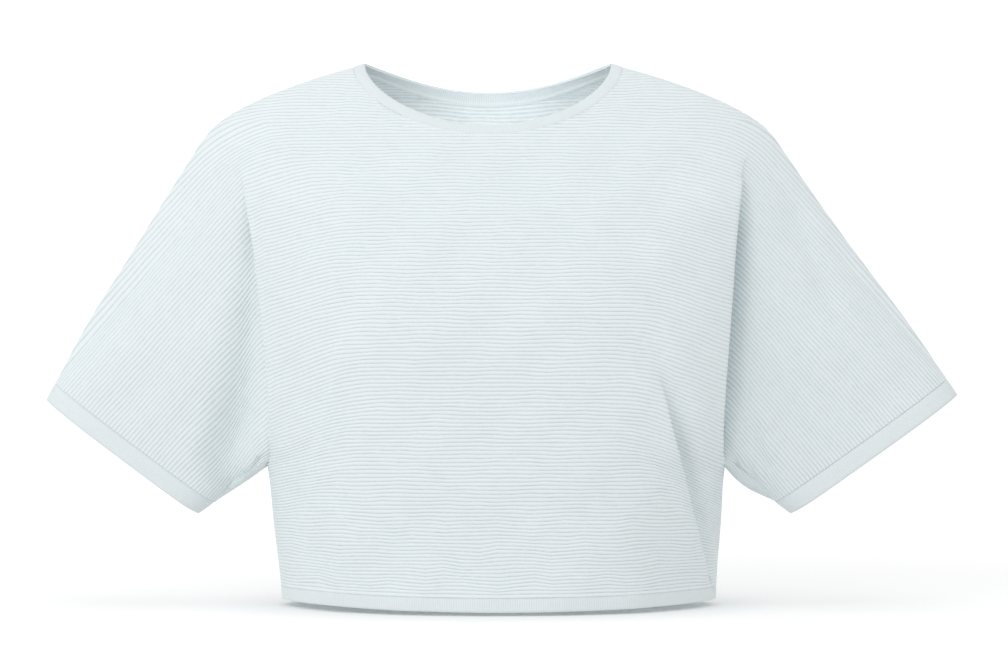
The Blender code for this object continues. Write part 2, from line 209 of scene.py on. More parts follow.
LEFT = Side(
    "left", 1.0, cuff_top_z=-0.3078, cuff_low=(0.2733, -0.4176), armhole=0.0026, fold=1.75, bend=0.75,
    cuff_top_share=0.085, valley=0.0250, valley_width=0.014, sag=0.0060,
)
RIGHT = Side(
    "right", -1.0, cuff_top_z=-0.3125, cuff_low=(0.2782, -0.4176), armhole=-0.0030, fold=0.42, bend=1.25,
    cuff_top_share=0.135, valley=0.0030, valley_width=0.020, sag=0.0010,
)
SIDES = (LEFT, RIGHT)

# Half widths of the outline. How far an armhole's edge folds over is given for each face.
OVERARM = Table(
    (0, .0149, .0335, .0521, .0707, .0893, .1265, .1823, .2381, .32),
    {"x": (.1144, .164, .213, .2473, .266, .2785, .3032, .3408, .3794, .429),
     "reach": (0, 0, 0, 0, 0, 0, .0002, .002, .0044, .0085)},
)
ARMHOLE = Table(
    (.055, .075, .1, .129, .166, .22, .275, .311, .348, .364, .3729),
    {"x": (.251, .24, .2295, .224, .2185, .213, .208, .2055, .205, .207, .2125),
     "front": (0, 0, .0026, .0072, .009, .0126, .0155, .015, .0115, .0075, 0),
     "back": (0, 0, .0012, .0036, .005, .007, .008, .008, .006, .004, 0)},
)
SIDE_LINE = Table((.3729, .387, .424, .461, .499), {"x": (.2125, .2107, .2078, .204, .201)})

# Depth of the front and back at the centre, how flat the section is, and how it draws in.
SECTIONS = Table(
    (0, .003, .01, .0214, .045, .075, .11, .15, .2, .257, .32, .3729, .43, .499),
    {"front": (0, .013, .0215, .031, .049, .0705, .094, .117, .135, .143, .1405, .135, .129, .1235),
     "back": (0, .036, .053, .065, .0765, .0855, .092, .0965, .0995, .1, .099, .098, .0995, .105),
     "flatness": (2.4, 2.4, 2.4, 2.4, 2.5, 2.6, 2.7, 2.8, 2.9, 3.0, 3.0, 3.0, 2.8, 2.4),
     "pinch": (*(0.5,) * 12, 0.57, 0.7)},
    power=0.5,
)
SLEEVE_DEPTH = {Face.FRONT: (0.066, 0.032), Face.BACK: (0.058, 0.032)}

# The neckline of each face: its drop, its band's overlap, and the powers that shape its curve.
NECKLINE = {Face.FRONT: (0.0604, 0.0015, 1.9, 1.0 / 1.7), Face.BACK: (0.0214, 0.0006, 2.0, 1.35)}

# How far apart the ribs lie down the middle of a panel, seen square on.
PITCH = {
    Face.FRONT: Table(
        (.003, .006, .01, .02, .035, .07, .115, .183, .255, .328, .4, .463, .486),
        {"pitch": (.0013, .0018, .0022, .0028, .003, .0031, .00315, .0033, .00355, .0035, .00347,
                   .00322, .00315)},
    ),
    Face.BACK: Table(
        (.003, .008, .016, .03, .06, .11, .25, .486),
        {"pitch": (.0012, .0017, .0026, .0033, .0036, .0037, .00375, .00375)},
    ),
}

# Where the ribs of a row begin to droop, where they have their full slope, and that slope, for
# the wearer's left and right.
FLOW = {
    Face.FRONT: Table(
        (0, .02, .037, .061, .09, .114, .144, .195, .244, .284, .326, .355, .388, .415, .44, .465, .486),
        {"left_begin": (.2, .195, .19, .18, .155, .135, .12, .115, .106, .098, .096, .1, .135, .164, .178,
                        .186, .19),
         "left_full": (.25, .25, .25, .245, .225, .2, .185, .178, .176, .172, .168, .172, .176, .182, .192,
                       .2, .204),
         "left": (.03, .12, .23, .33, .34, .28, .26, .29, .36, .4, .42, .45, .5, .5, .32, .1, 0),
         "right_begin": (.2, .195, .19, .18, .155, .13, .112, .106, .1, .094, .094, .105, .125, .145, .165,
                         .17, .175),
         "right_full": (.25, .25, .25, .245, .225, .195, .18, .175, .172, .168, .168, .172, .18, .188, .195,
                        .198, .2),
         "right": (.03, .14, .27, .38, .36, .29, .28, .3, .36, .38, .34, .29, .22, .13, .05, .01, 0)},
    ),
    Face.BACK: Table(
        (0, .02, .037, .061, .09, .144, .244, .326, .388, .45, .486),
        {"left_begin": (.2, .195, .19, .185, .165, .115, .105, .12, .15, .17, .175),
         "left_full": (.25, .25, .25, .245, .235, .18, .175, .185, .19, .198, .2),
         "left": (.05, .25, .44, .46, .34, .24, .3, .26, .16, .05, 0),
         "right_begin": (.2, .195, .19, .185, .165, .12, .11, .118, .146, .168, .175),
         "right_full": (.25, .25, .25, .245, .235, .182, .178, .182, .188, .196, .2),
         "right": (.05, .25, .44, .46, .34, .22, .27, .24, .17, .06, 0)},
    ),
}


@dataclass(frozen=True)
class Fold:
    """A fold down the side of the body: a crisp edge towards the centre, then a soft hollow."""

    x_top: float
    z_top: float
    x_low: float
    z_low: float
    depth: float
    sharp: float
    soft: float
    lip: float

    def relief(self, x: Array, z: Array) -> Array:
        """Find the change of depth that the fold makes.

        Args:
            x: half widths.
            z: heights.

        Returns:
            How far the knit stands out, less than 0 in the hollow.
        """
        run = np.array([self.x_low - self.x_top, self.z_low - self.z_top])
        length = float(np.hypot(*run))
        run = run / length
        across = (x - self.x_top) * -run[1] + (z - self.z_top) * run[0]
        share = ((x - self.x_top) * run[0] + (z - self.z_top) * run[1]) / length
        grown = ease(share, -0.08, 0.34) * (1.0 - 0.22 * ease(share, 0.75, 1.02))
        soft = self.soft * (1.0 - 0.45 * np.clip(share, 0.0, 1.0))
        hollow = ease(across, -0.25 * self.sharp, self.sharp)
        hollow = hollow * np.exp(-(np.maximum(across, 0.0) / soft) ** 1.7)
        lip = np.exp(-((across + LIP_PLACE) / LIP_WIDTH) ** 2)
        return grown * (self.lip * lip - self.depth * hollow)


FOLDS = {
    (Face.FRONT, LEFT): Fold(0.149, -0.297, 0.198, -0.492, 0.0225, 0.0006, 0.018, 0.0014),
    (Face.FRONT, RIGHT): Fold(0.133, -0.245, 0.199, -0.492, 0.0050, 0.0060, 0.026, 0.0008),
    (Face.BACK, LEFT): Fold(0.120, -0.250, 0.186, -0.480, 0.0060, 0.0090, 0.028, 0.0010),
    (Face.BACK, RIGHT): Fold(0.112, -0.270, 0.178, -0.488, 0.0075, 0.0070, 0.030, 0.0012),
}


@dataclass(frozen=True)
class Swell:
    """A soft ridge, or hollow where the height is negative, lying along a short line."""

    x: float
    z: float
    degrees: float
    along: float
    across: float
    height: float

    def relief(self, x: Array, z: Array) -> Array:
        """Find the change of depth that the swell makes.

        Args:
            x: places across the garment.
            z: heights.

        Returns:
            How far the knit stands out at each place.
        """
        turn = math.radians(self.degrees)
        long_way = (x - self.x) * math.cos(turn) + (z - self.z) * math.sin(turn)
        short_way = (z - self.z) * math.cos(turn) - (x - self.x) * math.sin(turn)
        return self.height * np.exp(-((long_way / self.along) ** 2) - (short_way / self.across) ** 2)


# x is across the whole garment, towards the wearer's left, and the turn is from level.
SWELLS = {
    Face.FRONT: [Swell(*sizes) for sizes in (
        (-.14, -.44, 80, .06, .016, .003), (-.098, -.455, 86, .045, .014, -.0022),
        (.03, -.462, 84, .045, .02, -.002), (.118, -.45, 98, .055, .017, .0024),
        (.07, -.225, 28, .06, .022, .0014), (-.04, -.3, -12, .09, .03, -.0014),
        (-.12, -.2, 62, .07, .02, -.0016), (.13, -.18, -66, .06, .018, -.0016),
        (.01, -.38, 8, .1, .024, .0016), (.152, -.285, -64, .024, .01, -.0022),
        (.172, -.3, -80, .04, .009, .0016), (.176, -.215, -62, .03, .012, -.0016),
        (-.172, -.25, 66, .05, .013, -.0016),
        # the right sleeve, ending in the crumples under the arm
        (-.215, -.165, 86, .038, .011, -.006), (-.223, -.24, 86, .06, .015, -.009),
        (-.2385, -.338, 74, .064, .023, -.0265), (-.213, -.362, 80, .03, .01, .002),
        (-.318, -.3, 58, .07, .018, -.0018), (-.29, -.372, 66, .036, .014, .0016),
        (-.2185, -.367, 34, .0055, .0028, -.0034), (-.2245, -.3735, 42, .006, .0026, -.0022),
        (-.233, -.38, 40, .008, .0028, -.0009),
        # the left sleeve, ending in the same way
        (.292, -.185, -70, .07, .012, -.0026), (.318, -.2, -66, .06, .01, .0014),
        (.345, -.33, 58, .036, .012, -.002), (.3, -.3, 74, .06, .016, .0014),
        (.249, -.366, -70, .026, .008, -.0034), (.2225, -.3705, -44, .006, .003, -.005),
        (.23, -.3765, -50, .009, .0028, -.004), (.24, -.382, -58, .011, .003, -.003),
    )],
    Face.BACK: [Swell(*sizes) for sizes in (
        (-.262, -.3, 72, .08, .016, -.004), (-.32, -.29, 56, .07, .018, .0026),
        (.258, -.31, -74, .075, .015, -.0042), (.325, -.27, -52, .07, .018, .0026),
        (-.07, -.4, 82, .09, .02, -.0045), (.045, -.42, 96, .08, .018, .0038),
        (.085, -.36, 78, .11, .02, -.004), (-.02, -.3, 88, .12, .03, .0035),
        (.1, -.15, -50, .07, .02, -.0035), (-.105, -.145, 52, .065, .019, -.003),
    )],
}

# Slanting waves that keep the knit and its ribs from lying too even, as ripple takes them.
SLACKNESS = ((.0005, .113, .171, .4), (.0004, -.071, .093, 1.9), (.00025, .043, .061, 4.2))
BODY_WANDER = ((.0004, .118, .075, .3), (.0003, -.063, .041, 2.2), (.00022, .031, -.027, 5.0))
HEM_SLACK = ((.0008, .066, .11, .8), (.00045, -.038, .085, 2.9))
SLEEVE_WANDER = {
    side.name: ((.00045, .092, .11, 1.1 + side.sign), (.0003, -.051, .06, 3.0), (.0002, .029, .044, .5))
    for side in SIDES
}
UNEVENNESS = ((.1, .037, .023, .9), (.08, -.019, .031, 2.6))


class Form:
    """The sweater's shape: its outline, and how far the knit stands from the seam plane."""

    def overarm_x(self, side: Side, z: Array) -> Array:
        """Half width of the shoulder and overarm line."""
        return OVERARM.read("x", z) + side.sign * OVERARM.read("reach", z)

    def armhole_share(self, z: Array) -> Array:
        """How far down the armhole line a height is, from 0 to 1."""
        return (SHOULDER_POINT_Z - np.asarray(z, float)) / (SHOULDER_POINT_Z - UNDERARM_Z)

    def armhole_x(self, side: Side, z: Array) -> Array:
        """Half width of the armhole line."""
        share = np.clip(self.armhole_share(z), 0.0, 1.0)
        return ARMHOLE.read("x", z) + side.armhole * np.sin(np.pi * share)

    def outer_x(self, side: Side, z: Array) -> Array:
        """Find the body's outline.

        Args:
            side: the side of the sweater.
            z: heights.

        Returns:
            Half widths on the shoulder line, then the armhole line, then the side line.
        """
        z = np.asarray(z, float)
        lower = np.where(z > UNDERARM_Z, self.armhole_x(side, z), SIDE_LINE.read("x", z))
        return np.where(z >= SHOULDER_POINT_Z, self.overarm_x(side, z), lower)

    def sleeve_depth(self, face: Face, share: Array, reach: Array | float) -> Array:
        """Find the half depth of the sleeve, which is flatter on its underside near the body.

        Args:
            face: the panel.
            share: how far down the sleeve's section, from 0 to 1.
            reach: how far along the sleeve, from 0 to 1.

        Returns:
            Distance from the seam plane at each place.
        """
        start, end = SLEEVE_DEPTH[face]
        across = np.abs(2.0 * np.clip(share, 0.0, 1.0) - 1.0)
        flatness = SLEEVE_FLATNESS + UNDERSIDE_FLATNESS * ease(share, 0.5, 1.0) * (1.5 - 0.5 * reach)
        return (start + (end - start) * reach) * np.sqrt(np.maximum(1.0 - across ** flatness, 0.0))

    def fold_height(self, side: Side, face: Face, z: Array) -> Array:
        """How far the body's edge stands over the start of the sleeve."""
        return side.fold * ARMHOLE.read(face.value, z)

    def end_depth(self, side: Side, face: Face, z: Array) -> Array:
        """Find the depth of the body's outer edge.

        Args:
            side: the side of the sweater.
            face: the panel.
            z: heights.

        Returns:
            Depths, 0 off the armhole, where the edge is on the seam plane.
        """
        share = self.armhole_share(z)
        depth = self.sleeve_depth(face, share, 0.0) + self.fold_height(side, face, z)
        return np.where((share > 0.0) & (share < 1.0), depth, 0.0)

    def swells(self, face: Face, across: Array, z: Array) -> Array:
        """Change of depth that the soft creases and the slackness of the knit make."""
        flat = np.zeros(np.broadcast(across, z).shape)
        return sum((swell.relief(across, z) for swell in SWELLS[face]), flat) + ripple(across, z, SLACKNESS)

    def drag(self, side: Side, face: Face, x: Array, z: Array) -> Array:
        """Find how far the creases pull the ribs out of line.

        Args:
            side: the side of the sweater.
            face: the panel.
            x: half widths.
            z: heights.

        Returns:
            How far up each place moves.
        """
        step = 0.001
        there, here = (self.swells(face, side.sign * (x + way), z) for way in (step, -step))
        return -RIB_DRAG * (there - here) / (2.0 * step) * ease(x, 0.0, 0.030)

    def body_depth(self, side: Side, face: Face, x: Array, z: Array) -> Array:
        """Depth of the body's outer face, with its folds and creases.

        Args:
            side: the side of the sweater.
            face: the panel.
            x: half widths.
            z: heights, of the same shape as x.

        Returns:
            Distance from the seam plane at each place.
        """
        centre = np.maximum(SECTIONS.read(face.value, z), 1e-6)
        flatness = SECTIONS.read("flatness", z)
        end = np.clip(self.end_depth(side, face, z) / centre, 0.0, 0.999)
        edge_share = (1.0 - end ** 2) ** (1.0 / flatness)
        share = np.clip(x / self.outer_x(side, z), 0.0, 1.0)
        pinch = SECTIONS.read("pinch", z) if face is Face.FRONT else 0.5
        depth = centre * np.maximum(1.0 - (share * edge_share) ** flatness, 0.0) ** pinch
        relief = FOLDS[face, side].relief(x, z) * (1.0 - share ** 22)
        relief = relief + self.swells(face, side.sign * x, z) * (1.0 - share ** 12)
        return np.maximum(depth + relief * ease(-z, 0.030, 0.090), 0.0)

    def neck_edge(self, face: Face, share: Array, band: float) -> tuple[Array, Array]:
        """Find the neckline, or a line across its band.

        Args:
            face: the panel.
            share: shares of the neck's half width, from the centre.
            band: 0 at the open edge and 1 at the seam.

        Returns:
            Half widths and heights.
        """
        drop, overlap, inner, outer = NECKLINE[face]
        shoulder_z = NECK_SEAM_Z * band
        half_width = float(OVERARM.read("x", shoulder_z))
        drop = drop + (NECKBAND_WIDTH - overlap) * band
        return half_width * share, shoulder_z - (drop + shoulder_z) * (1.0 - share ** inner) ** outer

    def neck_seam(self, face: Face) -> tuple[Array, Array]:
        """Half widths and heights along the neck seam, from the centre."""
        return self.neck_edge(face, np.linspace(0.0, 1.0, NECK_POINTS), 1.0)

    def neck_bottom(self, face: Face) -> float:
        """Height of the neck seam at the centre."""
        return float(self.neck_seam(face)[1][0])

    def neck_x(self, face: Face, z: Array) -> Array:
        """Half width of the neck seam at a height, and 0 below it."""
        x, height = self.neck_seam(face)
        return np.interp(z, height, x, left=0.0)

    def neck_z(self, face: Face, x: Array) -> Array:
        """Height of the neck seam at a half width, far up where there is none."""
        return np.interp(x, *self.neck_seam(face), right=1.0)

    def overarm(self, side: Side, z: float) -> Array:
        """A point of the overarm line."""
        return np.array([float(self.overarm_x(side, z)), z])

    def underarm(self, side: Side) -> Array:
        """The foot of the armhole line."""
        return np.array([float(self.armhole_x(side, UNDERARM_Z)), UNDERARM_Z])

    def cuff_corners(self, side: Side, back: float) -> tuple[Array, Array]:
        """Find the outline's top and low point near the cuff.

        Args:
            side: the side of the sweater.
            back: distance back up the sleeve from the cuff's edge.

        Returns:
            The two points.
        """
        top, low = self.overarm(side, side.cuff_top_z), np.array(side.cuff_low)
        edge = (low - top) / np.hypot(*(low - top))
        axis = np.array([-edge[1], edge[0]])
        top_run = top - self.overarm(side, side.cuff_top_z + 0.02)
        low_run = low - self.underarm(side)
        return top - top_run / np.dot(top_run, axis) * back, low - low_run / np.dot(low_run, axis) * back

    def place(self, side: Side, face: Face, x: Array, depth: Array, z: Array) -> Array:
        """Turn half width, depth and height into points of the garment, swayed at the hem.

        Args:
            side: the side of the sweater.
            face: the panel.
            x: half widths.
            depth: distances from the seam plane.
            z: heights.

        Returns:
            The points, in the garment's own frame.
        """
        x, depth, z = np.broadcast_arrays(x, depth, z)
        sway = HEM_SWAY * -z / LENGTH
        hang = ease(x, 0.060, 0.190) * HEM_LIFT - fade(x, 0.0, 0.080) * HEM_DIP
        z = z + hang * ease(-z, 0.430, LENGTH)
        return np.stack([sway + side.sign * x, face.toward * (depth + SEAM_GAP / 2.0), z], axis=-1)


FORM = Form()


def deselect_all() -> None:
    """Leave nothing selected, so an operator acts only on what is chosen next."""
    bpy.ops.object.select_all(action="DESELECT")


def choose(objects: Sequence[bpy.types.Object]) -> None:
    """Select the given objects alone, the first one active.

    Args:
        objects: what to select.
    """
    deselect_all()
    for item in objects:
        item.select_set(True)
    bpy.context.view_layer.objects.active = objects[0]


class KnitSheet:
    """One piece of knit, laid out in patches that are then welded, ribbed and given a wall."""

    def __init__(self, name: str) -> None:
        """Start an empty sheet with the piece's name."""
        self.name = name
        self.patches: list[bpy.types.Object] = []

    def lay(self, points: Array, marks: Sequence[Array], toward: Optional[Array] = None) -> bool:
        """Shape a primitive grid into rows of points.

        Args:
            points: rows x columns x 3.
            marks: for each point, or row or column, the distance along the rib, the number of
                ribs down to it and how far the rib stands out there.
            toward: the way the outer face looks, for turning the grid over; outwards from the
                grid's own middle where it is left out.

        Returns:
            Whether the grid was turned over.
        """
        if toward is None:
            toward = points - points.reshape(-1, 3).mean(axis=0)
        normal = np.cross(np.gradient(points, axis=1), np.gradient(points, axis=0))
        turned_over = float(np.sum(normal * toward)) < 0.0
        rows, columns = points.shape[:2]
        marks = [np.broadcast_to(mark, (rows, columns)) for mark in marks]
        if turned_over:
            points, marks = points[::-1], [mark[::-1] for mark in marks]
        bpy.ops.mesh.primitive_grid_add(x_subdivisions=columns - 1, y_subdivisions=rows - 1, size=1.0)
        patch = bpy.context.active_object
        patch.name = f"{self.name}_patch_{len(self.patches)}"
        patch.data.vertices.foreach_set("co", points.reshape(-1))
        self.mark(patch.data, *(mark.reshape(-1) for mark in marks))
        self.patches.append(patch)
        return turned_over

    def mark(self, mesh: bpy.types.Mesh, along: Array, phase: Array, rise: Array) -> None:
        """Write the knit's own coordinates on a mesh, as a UV map and a height on each point.

        Args:
            mesh: the mesh.
            along: distance along the rib at each point.
            phase: number of ribs down to each point.
            rise: how far the rib stands out there.
        """
        height = mesh.attributes.new("rise", "FLOAT", "POINT")
        height.data.foreach_set("value", rise.astype(np.float32))
        corner_points = np.empty(len(mesh.loops), dtype=np.int32)
        mesh.loops.foreach_get("vertex_index", corner_points)
        while mesh.uv_layers:
            mesh.uv_layers.remove(mesh.uv_layers[0])
        layer = mesh.uv_layers.new(name="knit")
        uv = np.stack([along[corner_points], phase[corner_points]], axis=1)
        layer.data.foreach_set("uv", uv.astype(np.float32).reshape(-1))
        mesh.update()

    def zip_up(self, edges: Sequence[Array], marks: Sequence[Array], turned_over: bool) -> None:
        """Close the strip between two edges that may have different numbers of ribs.

        Args:
            edges: points down each edge.
            marks: distance along the rib, ribs and rise at each point of each edge.
            turned_over: whether the grids beside the strip were turned over.
        """
        count, other = len(edges[0]), len(edges[1])
        here, there = (np.arange(count), np.arange(other)) if count == other else map(arc_shares, edges)
        faces = []
        i = j = 0
        while i < count - 1 or j < other - 1:
            if j == other - 1 or (i < count - 1 and here[i + 1] <= there[j + 1]):
                faces.append((i, count + j, i + 1))
                i += 1
            else:
                faces.append((i, count + j, count + j + 1))
                j += 1
        if turned_over:
            faces = [face[::-1] for face in faces]
        mesh = bpy.data.meshes.new(f"{self.name}_patch_{len(self.patches)}")
        mesh.from_pydata([tuple(point) for point in np.vstack(edges)], [], faces)
        patch = bpy.data.objects.new(mesh.name, mesh)
        bpy.context.scene.collection.objects.link(patch)
        self.mark(mesh, *np.vstack(marks).T)
        self.patches.append(patch)

    def finish(self, wall: float) -> bpy.types.Object:
        """Weld the patches, raise the ribs and give the knit its thickness inwards.

        Args:
            wall: thickness of the knit.

        Returns:
            The finished piece.
        """
        choose(self.patches)
        if len(self.patches) > 1:
            bpy.ops.object.join()
        piece = bpy.context.active_object
        piece.name = piece.data.name = self.name
        bpy.ops.object.mode_set(mode="EDIT")
        bpy.ops.mesh.select_all(action="SELECT")
        bpy.ops.mesh.remove_doubles(threshold=WELD)
        bpy.ops.mesh.select_all(action="SELECT")
        bpy.ops.mesh.dissolve_degenerate(threshold=WELD / 20.0)
        bpy.ops.object.mode_set(mode="OBJECT")
        self.raise_ribs(piece.data)
        solid = piece.modifiers.new("wall", "SOLIDIFY")
        solid.thickness = wall
        solid.offset = -1.0
        solid.use_even_offset = False
        choose([piece])
        bpy.ops.object.modifier_apply(modifier=solid.name)
        bpy.ops.object.shade_smooth_by_angle(angle=SMOOTH_ANGLE)
        LOG.info("%s: %d faces", self.name, len(piece.data.polygons))
        return piece

    def raise_ribs(self, mesh: bpy.types.Mesh) -> None:
        """Move each point out along its normal by the height written on it.

        Args:
            mesh: the welded sheet.
        """
        count = len(mesh.vertices)
        points = np.empty(count * 3)
        normals = np.empty(count * 3, dtype=np.float32)
        rise = np.empty(count, dtype=np.float32)
        mesh.vertices.foreach_get("co", points)
        mesh.vertex_normals.foreach_get("vector", normals)
        mesh.attributes["rise"].data.foreach_get("value", rise)
        points = points.reshape(-1, 3) + normals.reshape(-1, 3) * rise[:, None]
        mesh.vertices.foreach_set("co", points.reshape(-1))
        mesh.attributes.remove(mesh.attributes["rise"])
        mesh.update()


@dataclass
class Half:
    """The body rows of one half of a panel: where each rib starts and ends."""

    side: Side
    start_z: Array
    end_z: Array
    shoulder: int
    split: int
    underarm: int


@dataclass(frozen=True)
class Panel:
    """Front or back: the body and half of each sleeve in one piece of cross-ribbed knit.

    Its grids hold half width, depth and height, and are turned into places when they are laid.
    """

    face: Face
    rib_height: float = 0.00088
    # columns of points: up to the side fold, beside it, on to the edge, and along the sleeve
    inner_columns: int = 11
    fold_steps: tuple[float, ...] = (
        -0.0140, -0.0090, -0.0055, -0.0030, -0.0014, -0.0003, 0.0004, 0.0012, 0.0022, 0.0040, 0.0070, 0.0120,
    )
    outer_columns: int = 7
    # points down the middle and down the outline when rows are placed, and rows that a pin shifts
    row_points: int = 6001
    edge_points: int = 1600
    pin_reach: float = 14.0
    sleeve_columns: int = 22
    spread: float = 1.12
    # the rows above this height run on from the body into the sleeve
    split_z: float = -0.114
    neck_dip: float = 0.0022
    # how the back's ribs rise along the neckline: height, how far down it fades, and half width
    neck_cup: Point = (0.0050, 0.030, 0.080)
    arm_pitch: float = 0.0047
    # how the body's edge rolls over: out, and down to the sleeve, at each column of points
    tuck: tuple[tuple[float, float], ...] = ((0.35, 0.08), (0.50, 0.30), (0.15, 0.62), (0.0, 0.85))
    most_bulge: float = 0.0045
    # how far the sleeve starts under the body's edge, as a share of the fold, and how soon it is clear
    under_tuck: float = 0.30
    under_reach: float = 0.006
    # where the sleeve starts off the armhole line: a distance, or a share of a short row
    first_step: float = 0.005
    first_share: float = 0.35
    cuff_low_share: float = 0.915
    cuff_round: float = 0.5
    bend_radius: float = 0.036
    least_bend: float = 0.0008

    def rows(self) -> tuple[Array, Array]:
        """Space the rows down the middle of the panel, three to a rib.

        Returns:
            Heights at which the rows start, and the number of ribs down to each.
        """
        depth = np.linspace(NECK_SEAM_Z, PANEL_FOOT_Z, self.row_points)
        per_metre = 1.0 / PITCH[self.face].read("pitch", depth)
        steps = (per_metre[1:] + per_metre[:-1]) / 2.0 * -np.diff(depth)
        count = np.concatenate([[0.0], np.cumsum(steps)])
        ribs = int(round(count[-1]))
        phase = rib_phases(ribs)
        start = np.interp(phase * count[-1] / ribs, count, depth)
        self.pin(start, FORM.neck_bottom(self.face))
        return start, phase

    def pin(self, heights: Array, target: float, stride: int = 1) -> int:
        """Shift the rows near a height so that one falls exactly on it.

        Args:
            heights: the rows' heights, changed in place.
            target: the height that a row must fall on.
            stride: rows to choose from; with a whole rib's rows, one in a groove is chosen.

        Returns:
            The row that falls on the height.
        """
        row = stride * int(round(float(np.argmin(np.abs(heights - target))) / stride))
        index = np.arange(len(heights))
        heights += (target - heights[row]) * np.exp(-(((index - row) / self.pin_reach) ** 2))
        heights[row] = target
        return row

    def droop(self, side: Side, x: Array, start_z: Array) -> Array:
        """Find how far a rib has dropped on its way outwards.

        Args:
            side: the side of the sweater.
            x: half widths.
            start_z: heights at which the ribs start.

        Returns:
            How far each rib has dropped there.
        """
        flow = FLOW[self.face]
        begin, full = (flow.read(f"{side.name}_{end}", start_z) for end in ("begin", "full"))
        return flow.read(side.name, start_z) * eased_run(x, begin, full)

    def half(self, side: Side, start: Array) -> Half:
        """Find where each row of one half meets the outline.

        Args:
            side: the side of the sweater.
            start: heights at which the rows start.

        Returns:
            The rows of that half.
        """
        edge_z = np.linspace(NECK_SEAM_Z, PANEL_FOOT_Z, self.edge_points)
        edge_x = FORM.outer_x(side, edge_z)
        gap = edge_z + self.droop(side, edge_x, start[:, None]) - start[:, None]
        past = gap < 0.0
        after = np.where(past.any(axis=1), np.argmax(past, axis=1), len(edge_z) - 1)
        after = np.maximum(after, 1)
        row = np.arange(len(start))
        before_gap, after_gap = gap[row, after - 1], gap[row, after]
        share = np.clip(before_gap / np.maximum(before_gap - after_gap, 1e-12), 0.0, 1.0)
        end = edge_z[after - 1] + (edge_z[after] - edge_z[after - 1]) * share
        end[0], end[-1] = NECK_SEAM_Z, PANEL_FOOT_Z
        step = len(RIB_STEPS)
        shoulder = self.pin(end, SHOULDER_POINT_Z, step)
        underarm = self.pin(end, UNDERARM_Z, step)
        split = shoulder + step * int(round((np.argmin(np.abs(end - self.split_z)) - shoulder) / step))
        return Half(side, start, end, shoulder, split, underarm)

    def fold_x(self, side: Side, start: Array, inner: Array, outer: Array, scale: Array) -> Array:
        """Find where each row crosses the line of the side fold.

        Args:
            side: the side of the sweater.
            start: heights at which the rows start.
            inner: half widths at which they start.
            outer: half widths at which they end.
            scale: how much of its droop each row has.

        Returns:
            Half widths.
        """
        fold = FOLDS[self.face, side]
        width = outer - inner
        x = inner + 0.75 * width
        for _ in range(12):
            z = start - self.droop(side, x, start) * scale
            share = np.clip((z - fold.z_top) / (fold.z_low - fold.z_top), 0.0, 1.0)
            x = fold.x_top + (fold.x_low - fold.x_top) * share
            x = np.clip(x, inner + 0.40 * width, inner + 0.95 * width)
        return x

    def columns(self, inner: Array, fold: Array, outer: Array) -> Array:
        """Space the points of each row, closest beside the fold.

        Args:
            inner: half widths at which the rows start.
            fold: where they cross the side fold.
            outer: where they end.

        Returns:
            Half widths, rows x columns.
        """
        steps = np.array(self.fold_steps)
        before = np.minimum(1.0, 0.3 * (fold - inner) / -steps[0])
        beyond = np.minimum(1.0, 0.6 * (outer - fold) / steps[-1])
        beside = fold + steps * np.where(steps < 0.0, before, beyond)
        near = np.linspace(0.0, 1.0, self.inner_columns + 1)[:-1]
        far = 1.0 - (1.0 - np.linspace(0.0, 1.0, self.outer_columns + 1)[1:]) ** 1.6
        nearer = inner + (beside[:, :1] - inner) * near
        further = beside[:, -1:] + (outer - beside[:, -1:]) * far
        return np.concatenate([nearer, beside, further], axis=1)

    def body(self, half: Half) -> Array:
        """Run the body rows from the neck or centre outwards.

        Args:
            half: the rows.

        Returns:
            A grid of half widths, depths and heights.
        """
        side, start, end = half.side, half.start_z[:, None], half.end_z[:, None]
        outer = FORM.outer_x(side, end)
        dip = self.neck_dip * ease(-start, 0.006, 0.016) * fade(-start, 0.036, 0.058)
        dip = dip if self.face is Face.FRONT else dip * 0.0
        inner = np.minimum(FORM.neck_x(self.face, start - dip), outer)
        width = outer - inner
        total = self.droop(side, outer, start)
        scale = np.where(total > 1e-5, (start - end) / np.maximum(total, 1e-5), 0.0)
        x = self.columns(inner, self.fold_x(side, start, inner, outer, scale), outer)
        across = np.where(width > 1e-6, (x - inner) / np.maximum(width, 1e-6), 0.0)
        z = start - self.droop(side, x, start) * scale
        z -= (z[:, -1:] - end) * across ** 2
        z -= dip * np.exp(-(x - inner) / 0.016) * (1.0 - across ** 4)
        if self.face is Face.BACK:
            z += self.cupped(x, inner, start) * (1.0 - across ** 3)
        depth = FORM.body_depth(side, self.face, x, z)
        wander, slack = (ripple(side.sign * x, z, waves) for waves in (BODY_WANDER, HEM_SLACK))
        pull = wander + slack * ease(-z, 0.385, 0.450) + 0.6 * FORM.drag(side, self.face, x, z)
        under_neck = FORM.neck_bottom(self.face) - start
        beside_neck = ease(across * width, 0.0, 0.02) * ease(-under_neck, 0.0, 0.006)
        edge = ease((1.0 - across) * width, 0.0, 0.012) * np.where(
            under_neck >= 0.0, ease(under_neck, 0.0, 0.015), beside_neck)
        return np.stack([x, depth, z + pull * edge * ease(z - PANEL_FOOT_Z, 0.0, 0.012)], axis=-1)

    def cupped(self, x: Array, inner: Array, start: Array) -> Array:
        """Cup the back's ribs below the neckline.

        Args:
            x: half widths.
            inner: half widths at which the rows start.
            start: heights at which they start.

        Returns:
            How far each rib has risen there.
        """
        height, depth, half_width = self.neck_cup
        under = np.maximum(FORM.neck_bottom(self.face) - start, 0.0)
        here, beside_neck = ((place / half_width) ** 2 for place in (x, inner))
        hump = here * np.exp(1.0 - here) - beside_neck * np.exp(1.0 - beside_neck)
        return height * np.exp(-((under / depth) ** 2)) * hump

